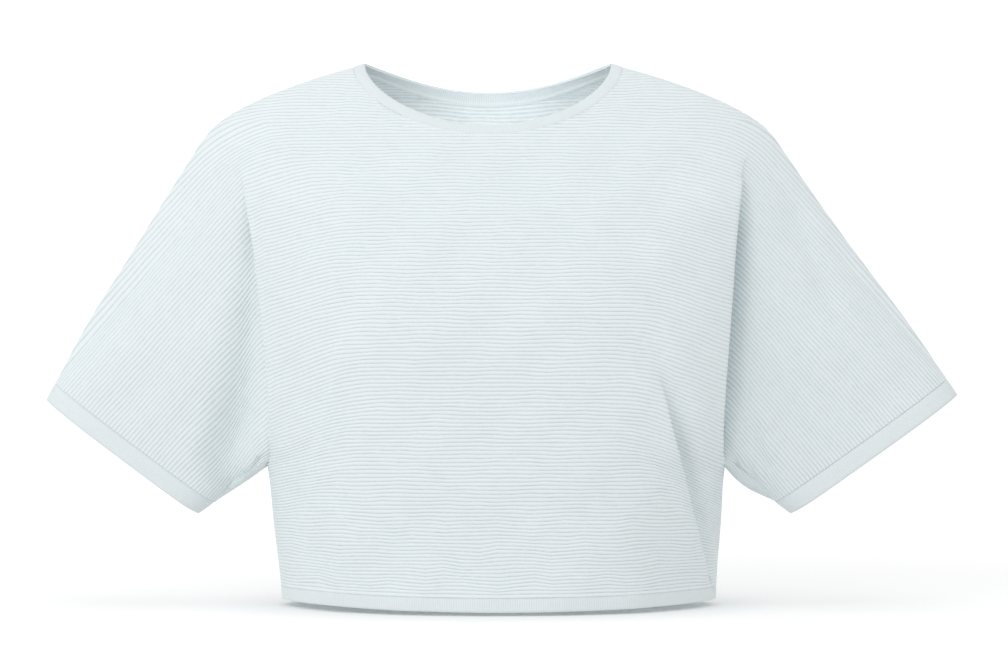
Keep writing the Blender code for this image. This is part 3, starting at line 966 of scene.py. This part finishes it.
    def arm_starts(self, half: Half) -> tuple[Array, Array]:
        """Space the sleeve's rows down the armhole.

        The rows above the split go on from the body's own rows; below it fewer ribs come out of
        the fold than go in, spaced by their distance along the armhole.

        Args:
            half: the body's rows.

        Returns:
            Heights at which the sleeve's rows start, and the number of ribs down to each.
        """
        upper = half.end_z[half.shoulder:half.split + 1]
        fine = np.linspace(upper[-1], UNDERARM_Z, FINE)
        depth = FORM.sleeve_depth(self.face, FORM.armhole_share(fine), 0.0)
        line = np.stack([FORM.armhole_x(half.side, fine), depth, fine], axis=1)
        ribs = int(round(run_lengths(line)[-1] / self.arm_pitch))
        starts = np.append(upper, np.interp(rib_phases(ribs)[1:] / ribs, arc_shares(line), fine))
        starts[-1] = UNDERARM_Z
        return starts, rib_phases((len(starts) - 1) // len(RIB_STEPS))

    def arm_ends(self, side: Side, starts: Array) -> tuple[Array, Array, Array]:
        """Where the sleeve's rows end: on the overarm line, the cuff or the underside line.

        Args:
            side: the side of the sweater.
            starts: heights at which the rows leave the armhole.

        Returns:
            Outline points, shares across the cuff, and how far each row gets along the sleeve.
        """
        top, low = FORM.cuff_corners(side, CUFF_WIDTH + SEAM_GAP)
        share = FORM.armhole_share(starts)[:, None]
        goals = (side.cuff_top_share, self.cuff_low_share)
        first, last = (int(np.argmin(np.abs(share - goal))) for goal in goals)
        index = np.arange(len(starts))[:, None]
        down = np.clip(index / first, 0.0, 1.0) ** self.spread
        over_z = SHOULDER_POINT_Z + (top[1] - SHOULDER_POINT_Z) * down
        over = np.concatenate([FORM.overarm_x(side, over_z), over_z], axis=1)
        fine = np.linspace(0.0, 1.0, FINE)
        oval = np.stack([fine * np.hypot(*(low - top)), FORM.sleeve_depth(self.face, fine, 1.0)], axis=1)
        even = np.clip((index - first) / (last - first), 0.0, 1.0)
        across = self.cuff_round * np.interp(even, arc_shares(oval), fine) + (1.0 - self.cuff_round) * even
        beyond = np.clip((index - last) / (len(starts) - 1 - last), 0.0, 1.0)
        rise = FORM.underarm(side) - low
        below = np.array([-rise[1], rise[0]]) / np.hypot(*rise)
        under = low + rise * beyond + side.sag * np.sin(np.pi * beyond) * beyond ** 0.3 * below
        end = np.where(index <= first, over, top + (low - top) * across)
        reach = np.minimum(1.0, share / share[first]) * (1.0 - beyond)
        return np.where(index > last, under, end), across, reach

    def sleeve(self, side: Side, starts: Array) -> tuple[Array, Array]:
        """Run the sleeve rows from the armhole outwards.

        Args:
            side: the side of the sweater.
            starts: heights at which the rows leave the armhole.

        Returns:
            A grid of half widths, depths and heights, and how far each row gets along the sleeve.
        """
        start = np.stack([FORM.armhole_x(side, starts), starts], axis=1)
        end, end_share, end_reach = self.arm_ends(side, starts)
        down = -starts[:, None]
        share = FORM.armhole_share(-down)
        run = end - start
        length = np.maximum(np.hypot(run[:, :1], run[:, 1:]), 1e-9)
        first = np.minimum(self.first_step, self.first_share * length)
        begin = (1.0 - self.folded(side, -down)) * first / length
        t = begin + (1.0 - begin) * np.linspace(0.0, 1.0, self.sleeve_columns + 1) ** self.spread
        up = np.stack([-run[:, 1], run[:, 0]], axis=1) / length
        line = start[:, None, :] + run[:, None, :] * t[:, :, None]
        across = share + (end_share - share) * t
        depth = FORM.sleeve_depth(self.face, across, t * end_reach)
        wander = ripple(line[:, :, 0], line[:, :, 1], SLEEVE_WANDER[side.name])
        quiet = np.sin(np.pi * np.clip(across, 0.0, 1.0)) ** 0.5 * np.sin(np.pi * np.clip(t, 0.0, 1.0)) ** 0.5
        wander = wander + FORM.drag(side, self.face, line[:, :, 0], line[:, :, 1])
        line = line + (wander * quiet)[:, :, None] * up[:, None, :]
        calm = ease(depth, 0.0, 0.012) * ease((1.0 - t) * length, 0.0, 0.030)
        depth = depth + FORM.swells(self.face, side.sign * line[:, :, 0], line[:, :, 1]) * calm
        hollow = side.valley * ease(down, 0.105, 0.170) * fade(down, 0.335, 0.368)
        wide = side.valley_width * (1.0 - 0.5 * ease(down, 0.290, 0.350))
        depth = depth - hollow * np.exp(-((t * length) / wide) ** 1.3)
        tucked = self.under_tuck * FORM.fold_height(side, self.face, -down)
        tucked = tucked * np.exp(-(t * length) / self.under_reach)
        return np.stack([line[:, :, 0] - tucked, np.maximum(depth, 0.0), line[:, :, 1]], axis=-1), end_reach

    def folded(self, side: Side, z: Array) -> Array:
        """How far the body's edge is a fold at a height: 0 where the knit runs on, 1 where it folds."""
        return ease(FORM.fold_height(side, self.face, z), 0.0009, 0.0028)

    def bend(self, side: Side, body: Array, arm: Array, heights: Array) -> None:
        """Round each row where it turns from the body into the sleeve, above the split.

        Args:
            side: the side of the sweater.
            body: the body's grid, changed in place.
            arm: the sleeve's grid, changed in place.
            heights: where the rows cross the armhole.
        """
        body_run = run_lengths(body[:, ::-1])[:, ::-1]
        corners = body[:, -1].copy()
        corners[:, 1] -= FORM.fold_height(side, self.face, heights)
        arm_run = run_lengths(arm) + np.linalg.norm(arm[:, 0] - corners, axis=1)[:, None]
        radius = self.bend_radius * side.bend * fade(-heights, -SHOULDER_POINT_Z + 0.02, -self.split_z)
        for row, size in enumerate(np.minimum(radius, 0.55 * arm_run[:, -1])):
            if size < self.least_bend:
                continue
            inside, outside = (
                np.array([np.interp(size, run, line[:, axis]) for axis in range(3)])
                for run, line in ((body_run[row, ::-1], body[row, ::-1]), (arm_run[row], arm[row]))
            )
            ends = ((body[row], body_run[row], -1.0, body[row, -1].copy()),
                    (arm[row], arm_run[row], 1.0, corners[row]))
            for line, run, sense, corner in ends:
                near = run < size
                t = (0.5 + sense * run[near] / (2.0 * size))[:, None]
                line[near] = (1.0 - t) ** 2 * inside + 2.0 * t * (1.0 - t) * corner + t ** 2 * outside

    def turn_edge(self, half: Half, edge: Array, starts: Array, under: Array) -> Array:
        """The columns of points between the body's edge and the start of the sleeve.

        Args:
            half: the rows of this half.
            edge: last point of each body row.
            starts: heights at which the sleeve's rows leave the armhole.
            under: first point of each sleeve row.

        Returns:
            One point for each body row and column; off the armhole they stay on the edge.
        """
        turned = np.repeat(edge[:, None, :], len(self.tuck), axis=1)
        rows = np.arange(half.shoulder + 1, half.underarm)
        here = edge[rows]
        goal = np.stack([np.interp(-half.end_z[rows], -starts, under[:, axis]) for axis in range(3)], axis=-1)
        bulge = np.minimum(0.5 * np.maximum(here[:, 1] - goal[:, 1], 0.0), self.most_bulge)
        folded = self.folded(half.side, half.end_z[rows])
        for column, (outwards, share) in enumerate(self.tuck):
            even = (column + 1) / (len(self.tuck) + 1)
            part = even + (share - even) * folded
            turned[rows, column] = here + (goal - here) * part[:, None]
            turned[rows, column, 0] += outwards * bulge * folded
        return turned

    def body_strength(self, half: Half, whole: Array, columns: int) -> Array:
        """Find how much the ribs of the body stand out: less at its edge and at the neck seam.

        Args:
            half: the rows.
            whole: the grid of the body and its turned edge.
            columns: how many of its columns are the body.

        Returns:
            A share of the full height at each point.
        """
        to_end = whole[:, columns - 1:columns, 0] - whole[:, :columns, 0]
        strength = np.full(whole.shape[:2], 0.4)
        strength[:, :columns] = 0.4 + 0.6 * ease(to_end, 0.0, 0.012)
        inside = slice(half.shoulder + 2, half.underarm - 1)
        folded = self.folded(half.side, half.end_z[inside])[:, None]
        strength[inside] = np.maximum(strength[inside], 1.0 - 0.5 * folded)
        strength[inside, :columns] = np.maximum(strength[inside, :columns], 0.85)
        strength *= ease(to_end[:, :1], 0.0, 0.02)
        below_seam = FORM.neck_z(self.face, whole[..., 0]) - whole[..., 2]
        return strength * (0.25 + 0.75 * ease(below_seam, 0.0, 0.0035))

    def arm_strength(self, side: Side, starts: Array, reach: Array, run: Array) -> Array:
        """Find how much the ribs of the sleeve stand out: less in the fold and at the outline.

        Args:
            side: the side of the sweater.
            starts: heights at which the rows leave the armhole.
            reach: how far each row gets along the sleeve.
            run: distance of each point along its row.

        Returns:
            A share of the full height at each point.
        """
        strength = np.full(run.shape, 1.15)
        strength[:, 0] -= 0.6 * self.folded(side, starts)
        off_cuff = np.where(reach > 0.999, 0.0, 1.0)
        strength *= 1.0 - 0.6 * off_cuff * fade(run[:, -1:] - run, 0.0, 0.012)
        return strength * (1.0 - 0.12 * ease(run, 0.0, 0.06))

    def lay_half(self, sheet: KnitSheet, half: Half, phase: Array) -> None:
        """Lay the body, the turned edge and the sleeve of one half.

        Args:
            sheet: the panel's knit.
            half: the rows.
            phase: number of ribs down to each row.
        """
        side, first, last = half.side, half.shoulder, half.underarm
        toward = np.array([0.0, self.face.toward, 0.0])
        body = self.body(half)
        starts, arm_phase = self.arm_starts(half)
        arm, reach = self.sleeve(side, starts)
        upper = half.split - first + 1
        self.bend(side, body[first:half.split + 1], arm[:upper], half.end_z[first:half.split + 1])
        arm[0, :], arm[-1, :] = body[first, -1], body[last, -1]
        whole = np.concatenate([body, self.turn_edge(half, body[:, -1], starts, arm[:, 0])], axis=1)
        points, arm_points = (FORM.place(side, self.face, *np.moveaxis(grid, -1, 0)) for grid in (whole, arm))
        along = side.sign * (whole[:, :1, 0] + run_lengths(points))
        rise = self.rise(side, whole, phase[:, None], self.body_strength(half, whole, body.shape[1]))
        rise[-1] = 0.6 * self.rib_height
        turned_over = sheet.lay(points, (along, phase[:, None], rise), toward)
        edge = slice(first, last + 1)
        run = run_lengths(arm_points)
        reached = np.interp(-starts, -half.end_z[edge], along[edge, -1])[:, None]
        arm_along = reached + side.sign * (CLOTH + run)
        ribs = arm_phase + phase[first]
        arm_rise = self.rise(side, arm, ribs[:, None], self.arm_strength(side, starts, reach, run))
        sheet.lay(arm_points, (arm_along, ribs[:, None], arm_rise), toward)
        edges = points[edge, -1], arm_points[:, 0]
        marks = (np.stack([along[edge, -1], phase[edge], rise[edge, -1]], axis=-1),
                 np.stack([arm_along[:, 0], ribs, arm_rise[:, 0]], axis=-1))
        for part in (slice(None, upper), slice(upper - 1, None)):
            sheet.zip_up([line[part] for line in edges], [mark[part] for mark in marks], turned_over)

    def rise(self, side: Side, rows: Array, phase: Array, strength: Array) -> Array:
        """How far each point stands out, with ribs a little uneven along their length."""
        uneven = 1.0 + ripple(side.sign * rows[..., 0], rows[..., 2], UNEVENNESS)
        return self.rib_height * rib_profile(phase) * uneven * strength

    def build(self) -> bpy.types.Object:
        """Build the panel.

        Returns:
            The panel, an object named after its face.
        """
        sheet = KnitSheet(f"{self.face.value}_panel")
        start, phase = self.rows()
        for side in SIDES:
            self.lay_half(sheet, self.half(side, start), phase)
        return sheet.finish(CLOTH)


@dataclass(frozen=True)
class Band:
    """A finely ribbed band: a closed ring between its seam and its open edge."""

    name: str
    rib_pitch: float = 0.0021
    rib_height: float = 0.00028
    wall: float = 0.0021
    # how deep the seam is let in, and how far the band rounds out, rolls in at its open edge and
    # dives under the panel
    groove: float = 0.0008
    puff: float = 0.0004
    edge_roll: float = 0.0012
    seam_tuck: float = 0.0003
    middle_points: int = 2000
    half_points: int = 300
    # shares of the width, from just under the panel to the open edge, at which the loops lie
    steps: tuple[float, ...] = (
        -0.06, 0.015, 0.05, 0.09, 0.16, 0.26, 0.38, 0.50, 0.62, 0.74, 0.84, 0.92, 0.97, 1.0,
    )
    columns_per_rib: int = 4

    def ring(self, share: float, count: int) -> Array:
        """One loop of the band, of count points, at a share of its width from the seam."""
        raise NotImplementedError

    def build(self) -> bpy.types.Object:
        """Build the band.

        Returns:
            The finished ring.
        """
        middle = self.ring(0.5, self.middle_points)
        ribs = int(round(run_lengths(np.vstack([middle, middle[:1]]))[-1] / self.rib_pitch))
        count = ribs * self.columns_per_rib
        share = np.array(self.steps)[:, None]
        rows = np.stack([self.ring(step, count) for step in self.steps])
        rows = np.concatenate([rows, rows[:, :1]], axis=1)
        ribs_at = np.arange(count + 1) / self.columns_per_rib
        # the band's edges are let in a little, except at the outline, where they'd show
        flank = ease(np.abs(rows[:, :, 1]), 0.0, 0.010)
        seam = self.groove * fade(share, 0.012, 0.070) * flank
        lift = self.puff * ease(share, 0.03, 0.35) - self.edge_roll * ease(share, 0.90, 1.0) * flank - seam
        lift = lift - self.seam_tuck * fade(share, -0.12, 0.01)
        ends = ease(share, 0.0, 0.12) * (1.0 - 0.7 * ease(share, 0.9, 1.0))
        rise = lift + self.rib_height * rib_profile(ribs_at) * ends
        sheet = KnitSheet(self.name)
        sheet.lay(rows, (run_lengths(rows[:, 0])[:, None], ribs_at, rise))
        return sheet.finish(self.wall)

    def spaced(self, loop: Array, guide: Array, count: int) -> Array:
        """Read a fine loop at evenly spaced places.

        Args:
            loop: the fine loop.
            guide: the line, point for point, whose length is shared out.
            count: how many places.

        Returns:
            The points, count x 3.
        """
        shares = arc_shares(np.vstack([guide, guide[:1]]))
        closed = np.vstack([loop, loop[:1]])
        at = np.arange(count) / count
        return np.stack([np.interp(at, shares, closed[:, axis]) for axis in range(3)], axis=1)

    def join(self, front: Array, back: Array) -> Array:
        """Join a front and a back line into one loop.

        Args:
            front: points of the front line.
            back: points of the back line, which runs the same way.

        Returns:
            The loop.
        """
        for end in (0, -1):
            front[end] = (front[end] + back[end]) / 2.0
        return np.vstack([front, back[-2:0:-1]])


@dataclass(frozen=True)
class BodyBand(Band):
    """A band round the body, across its front and its back."""

    def half_line(self, side: Side, face: Face, level: float) -> tuple[Array, Array]:
        """Half widths and heights of a line across half of one face, from the centre."""
        raise NotImplementedError

    def fine_loop(self, level: float) -> Array:
        """Draw the body's section as a fine loop.

        Args:
            level: a level of the band.

        Returns:
            The loop's points.
        """
        lines = []
        for face in Face:
            left, right = (self.half_line(side, face, level) for side in SIDES)
            left, right = (FORM.place(side, face, x, FORM.body_depth(side, face, x, z), z)
                           for side, (x, z) in zip(SIDES, (left, right)))
            lines.append(np.vstack([right[::-1], left[1:]]))
        return self.join(*lines)


@dataclass(frozen=True)
class Neckband(BodyBand):
    """The band round the neck."""

    name: str = "neckband_rib"
    groove: float = 0.0004
    half_points: int = 240
    steps: tuple[float, ...] = (
        -0.15, -0.04, 0.02, 0.08, 0.16, 0.26, 0.38, 0.50, 0.62, 0.74, 0.84, 0.92, 0.97, 1.0,
    )

    def half_line(self, side: Side, face: Face, level: float) -> tuple[Array, Array]:
        """Half the neckline, from the open edge (0) to the seam (1)."""
        return FORM.neck_edge(face, np.sin(np.linspace(0.0, QUARTER_TURN, self.half_points)), level)

    def ring(self, share: float, count: int) -> Array:
        """One loop of the neckband."""
        seam, edge = self.fine_loop(1.0), self.fine_loop(0.0)
        return self.spaced(seam + (edge - seam) * share, (seam + edge) / 2.0, count)


@dataclass(frozen=True)
class HemBand(BodyBand):
    """The band round the hem."""

    name: str = "hem_rib"
    groove: float = 0.0003

    def half_line(self, side: Side, face: Face, level: float) -> tuple[Array, Array]:
        """Half the body's width at a height."""
        x = float(FORM.outer_x(side, level)) * np.sin(np.linspace(0.0, QUARTER_TURN, self.half_points))
        return x, np.full_like(x, level)

    def ring(self, share: float, count: int) -> Array:
        """One loop of the hem band."""
        loop, middle = (self.fine_loop(-LENGTH + HEM_BAND_WIDTH * part) for part in (1.0 - share, 0.5))
        return self.spaced(loop, middle, count)


@dataclass(frozen=True)
class Cuff(Band):
    """A cuff, the last stretch of a sleeve."""

    side: Side = LEFT

    def fine_loop(self, back: float) -> Array:
        """Draw the sleeve's section as a fine loop.

        Args:
            back: distance back up the sleeve from the cuff's edge.

        Returns:
            The loop's points.
        """
        across = (1.0 - np.cos(np.linspace(0.0, np.pi, self.half_points))) / 2.0
        top, low = FORM.cuff_corners(self.side, back)
        x, z = (top + (low - top) * across[:, None]).T
        return self.join(*(
            FORM.place(self.side, face, x, FORM.sleeve_depth(face, across, 1.0), z) for face in Face
        ))

    def ring(self, share: float, count: int) -> Array:
        """One loop of the cuff."""
        loop, middle = (self.fine_loop(CUFF_WIDTH * part) for part in (1.0 - share, 0.5))
        return self.spaced(loop, middle, count)


class NodeBench:
    """A node material being put together."""

    def __init__(self, name: str) -> None:
        """Start a material that has its plain shader and reads the piece's own place.

        Args:
            name: the material's name.
        """
        self.material = bpy.data.materials.new(name)
        self.material.use_nodes = True
        self.tree = self.material.node_tree
        self.shader = self.tree.nodes["Principled BSDF"]
        self.place = self.add("TexCoord").outputs["Object"]

    def add(self, kind: str) -> bpy.types.Node:
        """Add a shader node of a kind."""
        return self.tree.nodes.new(f"ShaderNode{kind}")

    def feed(self, node: bpy.types.Node, inputs: dict[int | str, object]) -> bpy.types.Node:
        """Link or set a node's inputs.

        Args:
            node: the node.
            inputs: a socket or a value for each of its inputs, by name or number.

        Returns:
            The node.
        """
        for key, value in inputs.items():
            if isinstance(value, Socket):
                self.tree.links.new(value, node.inputs[key])
            else:
                node.inputs[key].default_value = value
        return node

    def calc(self, operation: str, *inputs: object) -> Socket:
        """Add a Math node.

        Args:
            operation: what it does.
            inputs: sockets or numbers.

        Returns:
            Its output.
        """
        node = self.add("Math")
        node.operation = operation
        return self.feed(node, dict(enumerate(inputs))).outputs[0]

    def vector(self, operation: str, output: str, *inputs: object) -> Socket:
        """Add a Vector Math node.

        Args:
            operation: what it does.
            output: which output is wanted.
            inputs: sockets or values.

        Returns:
            That output.
        """
        node = self.add("VectorMath")
        node.operation = operation
        return self.feed(node, dict(enumerate(inputs))).outputs[output]

    def ranged(self, value: Socket, low: float, high: float, first: float, second: float) -> Socket:
        """Add a smooth change from one number to another.

        Args:
            value: what is read.
            low: where the change starts.
            high: where it ends.
            first: the number at low.
            second: the number at high.

        Returns:
            The node's output.
        """
        node = self.add("MapRange")
        node.interpolation_type = "SMOOTHSTEP"
        ends = {"From Min": low, "From Max": high, "To Min": first, "To Max": second}
        return self.feed(node, {"Value": value, **ends}).outputs[0]

    def mix(self, factor: object, first: object, second: object, blend: str = "MIX") -> Socket:
        """Add a colour Mix node.

        Args:
            factor: share of the second colour.
            first: the first colour.
            second: the second colour.
            blend: how the two are blended.

        Returns:
            The node's output.
        """
        node = self.add("Mix")
        node.data_type = "RGBA"
        node.blend_type = blend
        return self.feed(node, {0: factor, 6: first, 7: second}).outputs[2]

    def noise(self, scale: float, detail: float) -> Socket:
        """Add a noise texture and return its value."""
        sizes = {"Scale": scale, "Detail": detail, "Roughness": 0.6, "Vector": self.place}
        return self.feed(self.add("TexNoise"), sizes).outputs["Fac"]


@dataclass(frozen=True)
class KnitFinish:
    """Matte cotton knit: colour of the ridge, a darker groove colour that paints shade into the grooves,
    stitches, fuzz and slight unevenness.
    """

    name: str
    ridge: Point
    # the groove colour is painted shade: darker than the ridge where the grooves lie in shade
    groove: Point
    groove_shade_width: float
    stitch_bump: float
    courses: float
    stitch_length: float = 0.0013
    bump_strength: float = 0.6
    roughness: float = 0.9
    sheen: float = 0.18
    # how fine the noise is that breaks up the painted groove shade, the clouding, the fleck and the fuzz
    patches: float = 190.0
    clouds: float = 26.0
    flecks: float = 900.0
    fuzz: float = 2400.0

    def build(self) -> bpy.types.Material:
        """Build the material from the knit's own UV map.

        Returns:
            The finished material.
        """
        bench = NodeBench(self.name)
        calc, noise = bench.calc, bench.noise
        knit = bench.add("UVMap")
        knit.uv_map = "knit"
        split = bench.feed(bench.add("SeparateXYZ"), {0: knit.outputs["UV"]})
        along, rib = split.outputs["X"], split.outputs["Y"]

        # 0 in the groove between two ribs, 1 along the top of a rib
        offset = calc("FRACT", calc("ADD", rib, 0.5))
        ridge = calc("MULTIPLY", calc("ABSOLUTE", calc("SUBTRACT", offset, 0.5)), 2.0)
        # painted shade: the grooves get the darker groove colour, broken up by noise
        depth = bench.ranged(ridge, 0.0, self.groove_shade_width, 1.0, 0.0)
        painted_groove_shade = calc("MULTIPLY", depth, calc("MULTIPLY_ADD", noise(self.patches, 3.0), 1.8, 0.05))
        base = bench.mix(painted_groove_shade, (*self.ridge, 1.0), (*self.groove, 1.0))

        # soft clouding and a fleck of lighter and darker yarn
        cloud = calc("MULTIPLY_ADD", noise(self.clouds, 3.0), 0.05, 0.975)
        fleck = calc("MULTIPLY_ADD", noise(self.flecks, 2.0), 0.10, 0.95)
        tone = calc("MULTIPLY", cloud, fleck)
        grey = bench.feed(bench.add("CombineColor"), {0: tone, 1: tone, 2: tone})
        base = bench.mix(1.0, base, grey.outputs[0], "MULTIPLY")

        # stitches: columns along the rib, leaning one way and the other in turn
        column = calc("DIVIDE", along, self.stitch_length)
        course = calc("MULTIPLY", rib, self.courses)
        lean = calc("ABSOLUTE", calc("SUBTRACT", calc("FRACT", column), 0.5))
        wave = calc("SINE", calc("MULTIPLY", calc("ADD", course, lean), 2.0 * math.pi))
        gap = calc("SINE", calc("MULTIPLY", calc("FRACT", column), math.pi))
        stitch = calc("MULTIPLY", calc("MULTIPLY_ADD", wave, 0.5, 0.5), gap)
        surface = calc("MULTIPLY_ADD", noise(self.fuzz, 3.0), 0.6, stitch)
        bump = bench.feed(bench.add("Bump"), {
            "Strength": self.bump_strength, "Distance": self.stitch_bump, "Height": surface,
        })
        bench.feed(bench.shader, {
            "Base Color": base, "Normal": bump.outputs[0], "Roughness": self.roughness, "IOR": 1.4,
            "Specular IOR Level": 0.25, "Sheen Weight": self.sheen, "Sheen Roughness": 0.5,
            "Sheen Tint": (0.95, 1.0, 1.0, 1.0),
        })
        return bench.material


@dataclass(frozen=True)
class Lamp:
    """A soft square light that hangs at a place and is turned to its aim."""

    name: str
    place: Point
    size: float
    power: float
    aim: Point = (0.0, 0.0, -0.25)

    def hang(self) -> None:
        """Add the light."""
        bpy.ops.object.light_add(type="AREA", location=self.place)
        lamp = bpy.context.active_object
        lamp.name = self.name
        lamp.data.size = self.size
        lamp.data.energy = self.power
        lamp.visible_camera = False
        x, y, z = np.array(self.aim) - np.array(self.place)
        lamp.rotation_euler = (math.atan2(math.hypot(x, y), -z), 0.0, math.atan2(y, x) - QUARTER_TURN)


@dataclass(frozen=True)
class Studio:
    """A white sweep under soft light, and the camera."""

    floor_z: float = -LENGTH - 0.0036
    flat_reach: float = 9.0
    full_reach: float = 13.0
    bend: float = 1.6
    grid: int = 96
    glow_reach: tuple[float, float] = (0.55, 2.2)
    near_glow: float = 0.195
    far_glow: float = 0.42
    # painted contact shadow: the floor's glow is dimmed close round the hem
    painted_shadow_reach: tuple[float, float] = (0.10, 0.23)
    painted_shadow_share: float = 0.22
    air: float = 0.80
    sight: Point = (0.0149, 0.0, -0.253)
    distance: float = 2.9
    lens: float = 111.4
    lamps: tuple[Lamp, ...] = (
        Lamp("key", (-2.4, -3.0, 1.0), 3.0, 42.0),
        Lamp("fill", (2.8, -2.6, 0.9), 2.6, 6.0),
        Lamp("top", (0.0, -0.6, 3.0), 2.4, 8.0),
        Lamp("neck", (0.005, -0.02, -0.12), 0.10, 0.092, (0.005, 0.09, -0.035)),
    )

    def paper(self) -> bpy.types.Material:
        """Plain matte white, glowing more away from the middle, with a painted contact shadow where the glow
        is dimmed close round the hem.

        Returns:
            The finished material.
        """
        bench = NodeBench("studio_paper")
        away = bench.vector("LENGTH", "Value", bench.place)
        glow = bench.ranged(away, *self.glow_reach, self.near_glow, self.far_glow)
        # painted contact shadow: the glow dims on an oval close round the hem
        flat = bench.vector("MULTIPLY", "Vector", bench.place, (0.75, 1.0, 0.0))
        beside = bench.vector("LENGTH", "Value", flat)
        painted_contact_shadow = bench.ranged(beside, *self.painted_shadow_reach, self.painted_shadow_share, 1.0)
        bench.feed(bench.shader, {
            "Base Color": (0.90, 0.90, 0.90, 1.0), "Roughness": 1.0, "Specular IOR Level": 0.0,
            "Emission Color": (1.0, 1.0, 1.0, 1.0),
            "Emission Strength": bench.calc("MULTIPLY", glow, painted_contact_shadow),
        })
        return bench.material

    def sweep(self) -> None:
        """Lay a floor that curves up into a backdrop on every side."""
        deselect_all()
        bpy.ops.mesh.primitive_grid_add(x_subdivisions=self.grid, y_subdivisions=self.grid, size=2.0)
        floor = bpy.context.active_object
        floor.name = "studio_sweep"
        points = np.empty(len(floor.data.vertices) * 3)
        floor.data.vertices.foreach_get("co", points)
        x, y = points.reshape(-1, 3)[:, :2].T
        radius = np.hypot(x, y)
        far = radius * self.full_reach
        wall = np.maximum(far - self.flat_reach, 0.0)
        angle = np.minimum(wall / self.bend, QUARTER_TURN)
        rise = self.bend * (1.0 - np.cos(angle)) + np.maximum(wall - self.bend * QUARTER_TURN, 0.0)
        reach = np.minimum(far, self.flat_reach) + self.bend * np.sin(angle)
        scale = np.where(radius > 1e-9, reach / np.maximum(radius, 1e-9), 0.0)
        placed = np.stack([x * scale, y * scale, self.floor_z + rise], axis=1)
        floor.data.vertices.foreach_set("co", placed.reshape(-1))
        floor.data.update()
        bpy.ops.object.shade_smooth()
        floor.data.materials.append(self.paper())
        floor.visible_diffuse = False
        floor.visible_glossy = False

    def build(self) -> None:
        """Set the sweep, the lights, the world and the camera."""
        self.sweep()
        for lamp in self.lamps:
            lamp.hang()
        world = bpy.data.worlds.new("studio_air")
        bpy.context.scene.world = world
        world.use_nodes = True
        background = world.node_tree.nodes["Background"]
        background.inputs["Color"].default_value = (1.0, 1.0, 1.0, 1.0)
        background.inputs["Strength"].default_value = self.air
        x, y, z = self.sight
        bpy.ops.object.camera_add(location=(x, y - self.distance, z), rotation=(QUARTER_TURN, 0.0, 0.0))
        camera = bpy.context.active_object
        camera.name = "studio_camera"
        camera.data.lens = self.lens
        camera.data.sensor_width = 36.0
        bpy.context.scene.camera = camera
        bpy.context.scene.view_settings.view_transform = "Standard"


# the groove colours are darker than the ridges to paint shade into the grooves
PANEL_KNIT = KnitFinish(
    "cross_rib_knit", ridge=(0.809, 0.871, 0.889), groove=(0.648, 0.727, 0.745), groove_shade_width=0.42,
    stitch_bump=0.00010, courses=2.0,
)
BAND_KNIT = KnitFinish(
    "fine_rib_knit", ridge=(0.770, 0.830, 0.848), groove=(0.690, 0.756, 0.774), groove_shade_width=0.50,
    stitch_bump=0.00008, courses=1.0,
)


@dataclass(frozen=True)
class Cutting:
    """The flat size that a piece was cut to, and its area where that isn't a rectangle."""

    width: float
    length: float
    area: Optional[float] = None


def dress(piece: bpy.types.Object, material: bpy.types.Material, nodes: Sequence[str]) -> None:
    """Give a piece its finish, hang it on the frame's root and hide the frame nodes it replaces.

    Args:
        piece: the finished piece.
        material: its knit.
        nodes: the frame nodes it replaces.
    """
    piece.data.materials.clear()
    piece.data.materials.append(material)
    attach(piece, "root")
    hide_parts(*nodes)


def main() -> None:
    """Build every piece around the frame, then the studio."""
    logging.basicConfig(level=logging.INFO, format="%(name)s: %(message)s")
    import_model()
    deselect_all()
    panel_knit, band_knit = PANEL_KNIT.build(), BAND_KNIT.build()
    for face in Face:
        nodes = [face.value] + [f"{face.value}_sleeve_{side.name}" for side in SIDES]
        dress(Panel(face).build(), panel_knit, nodes)
    dress(Neckband().build(), band_knit, ["neckband"])
    for side in SIDES:
        cuff = Cuff(name=f"cuff_{side.name}_rib", side=side)
        dress(cuff.build(), band_knit, [f"cuff_{side.name}"])
    dress(HemBand().build(), band_knit, ["hem_band"])
    Studio().build()


if __name__ == "__main__":
    main()
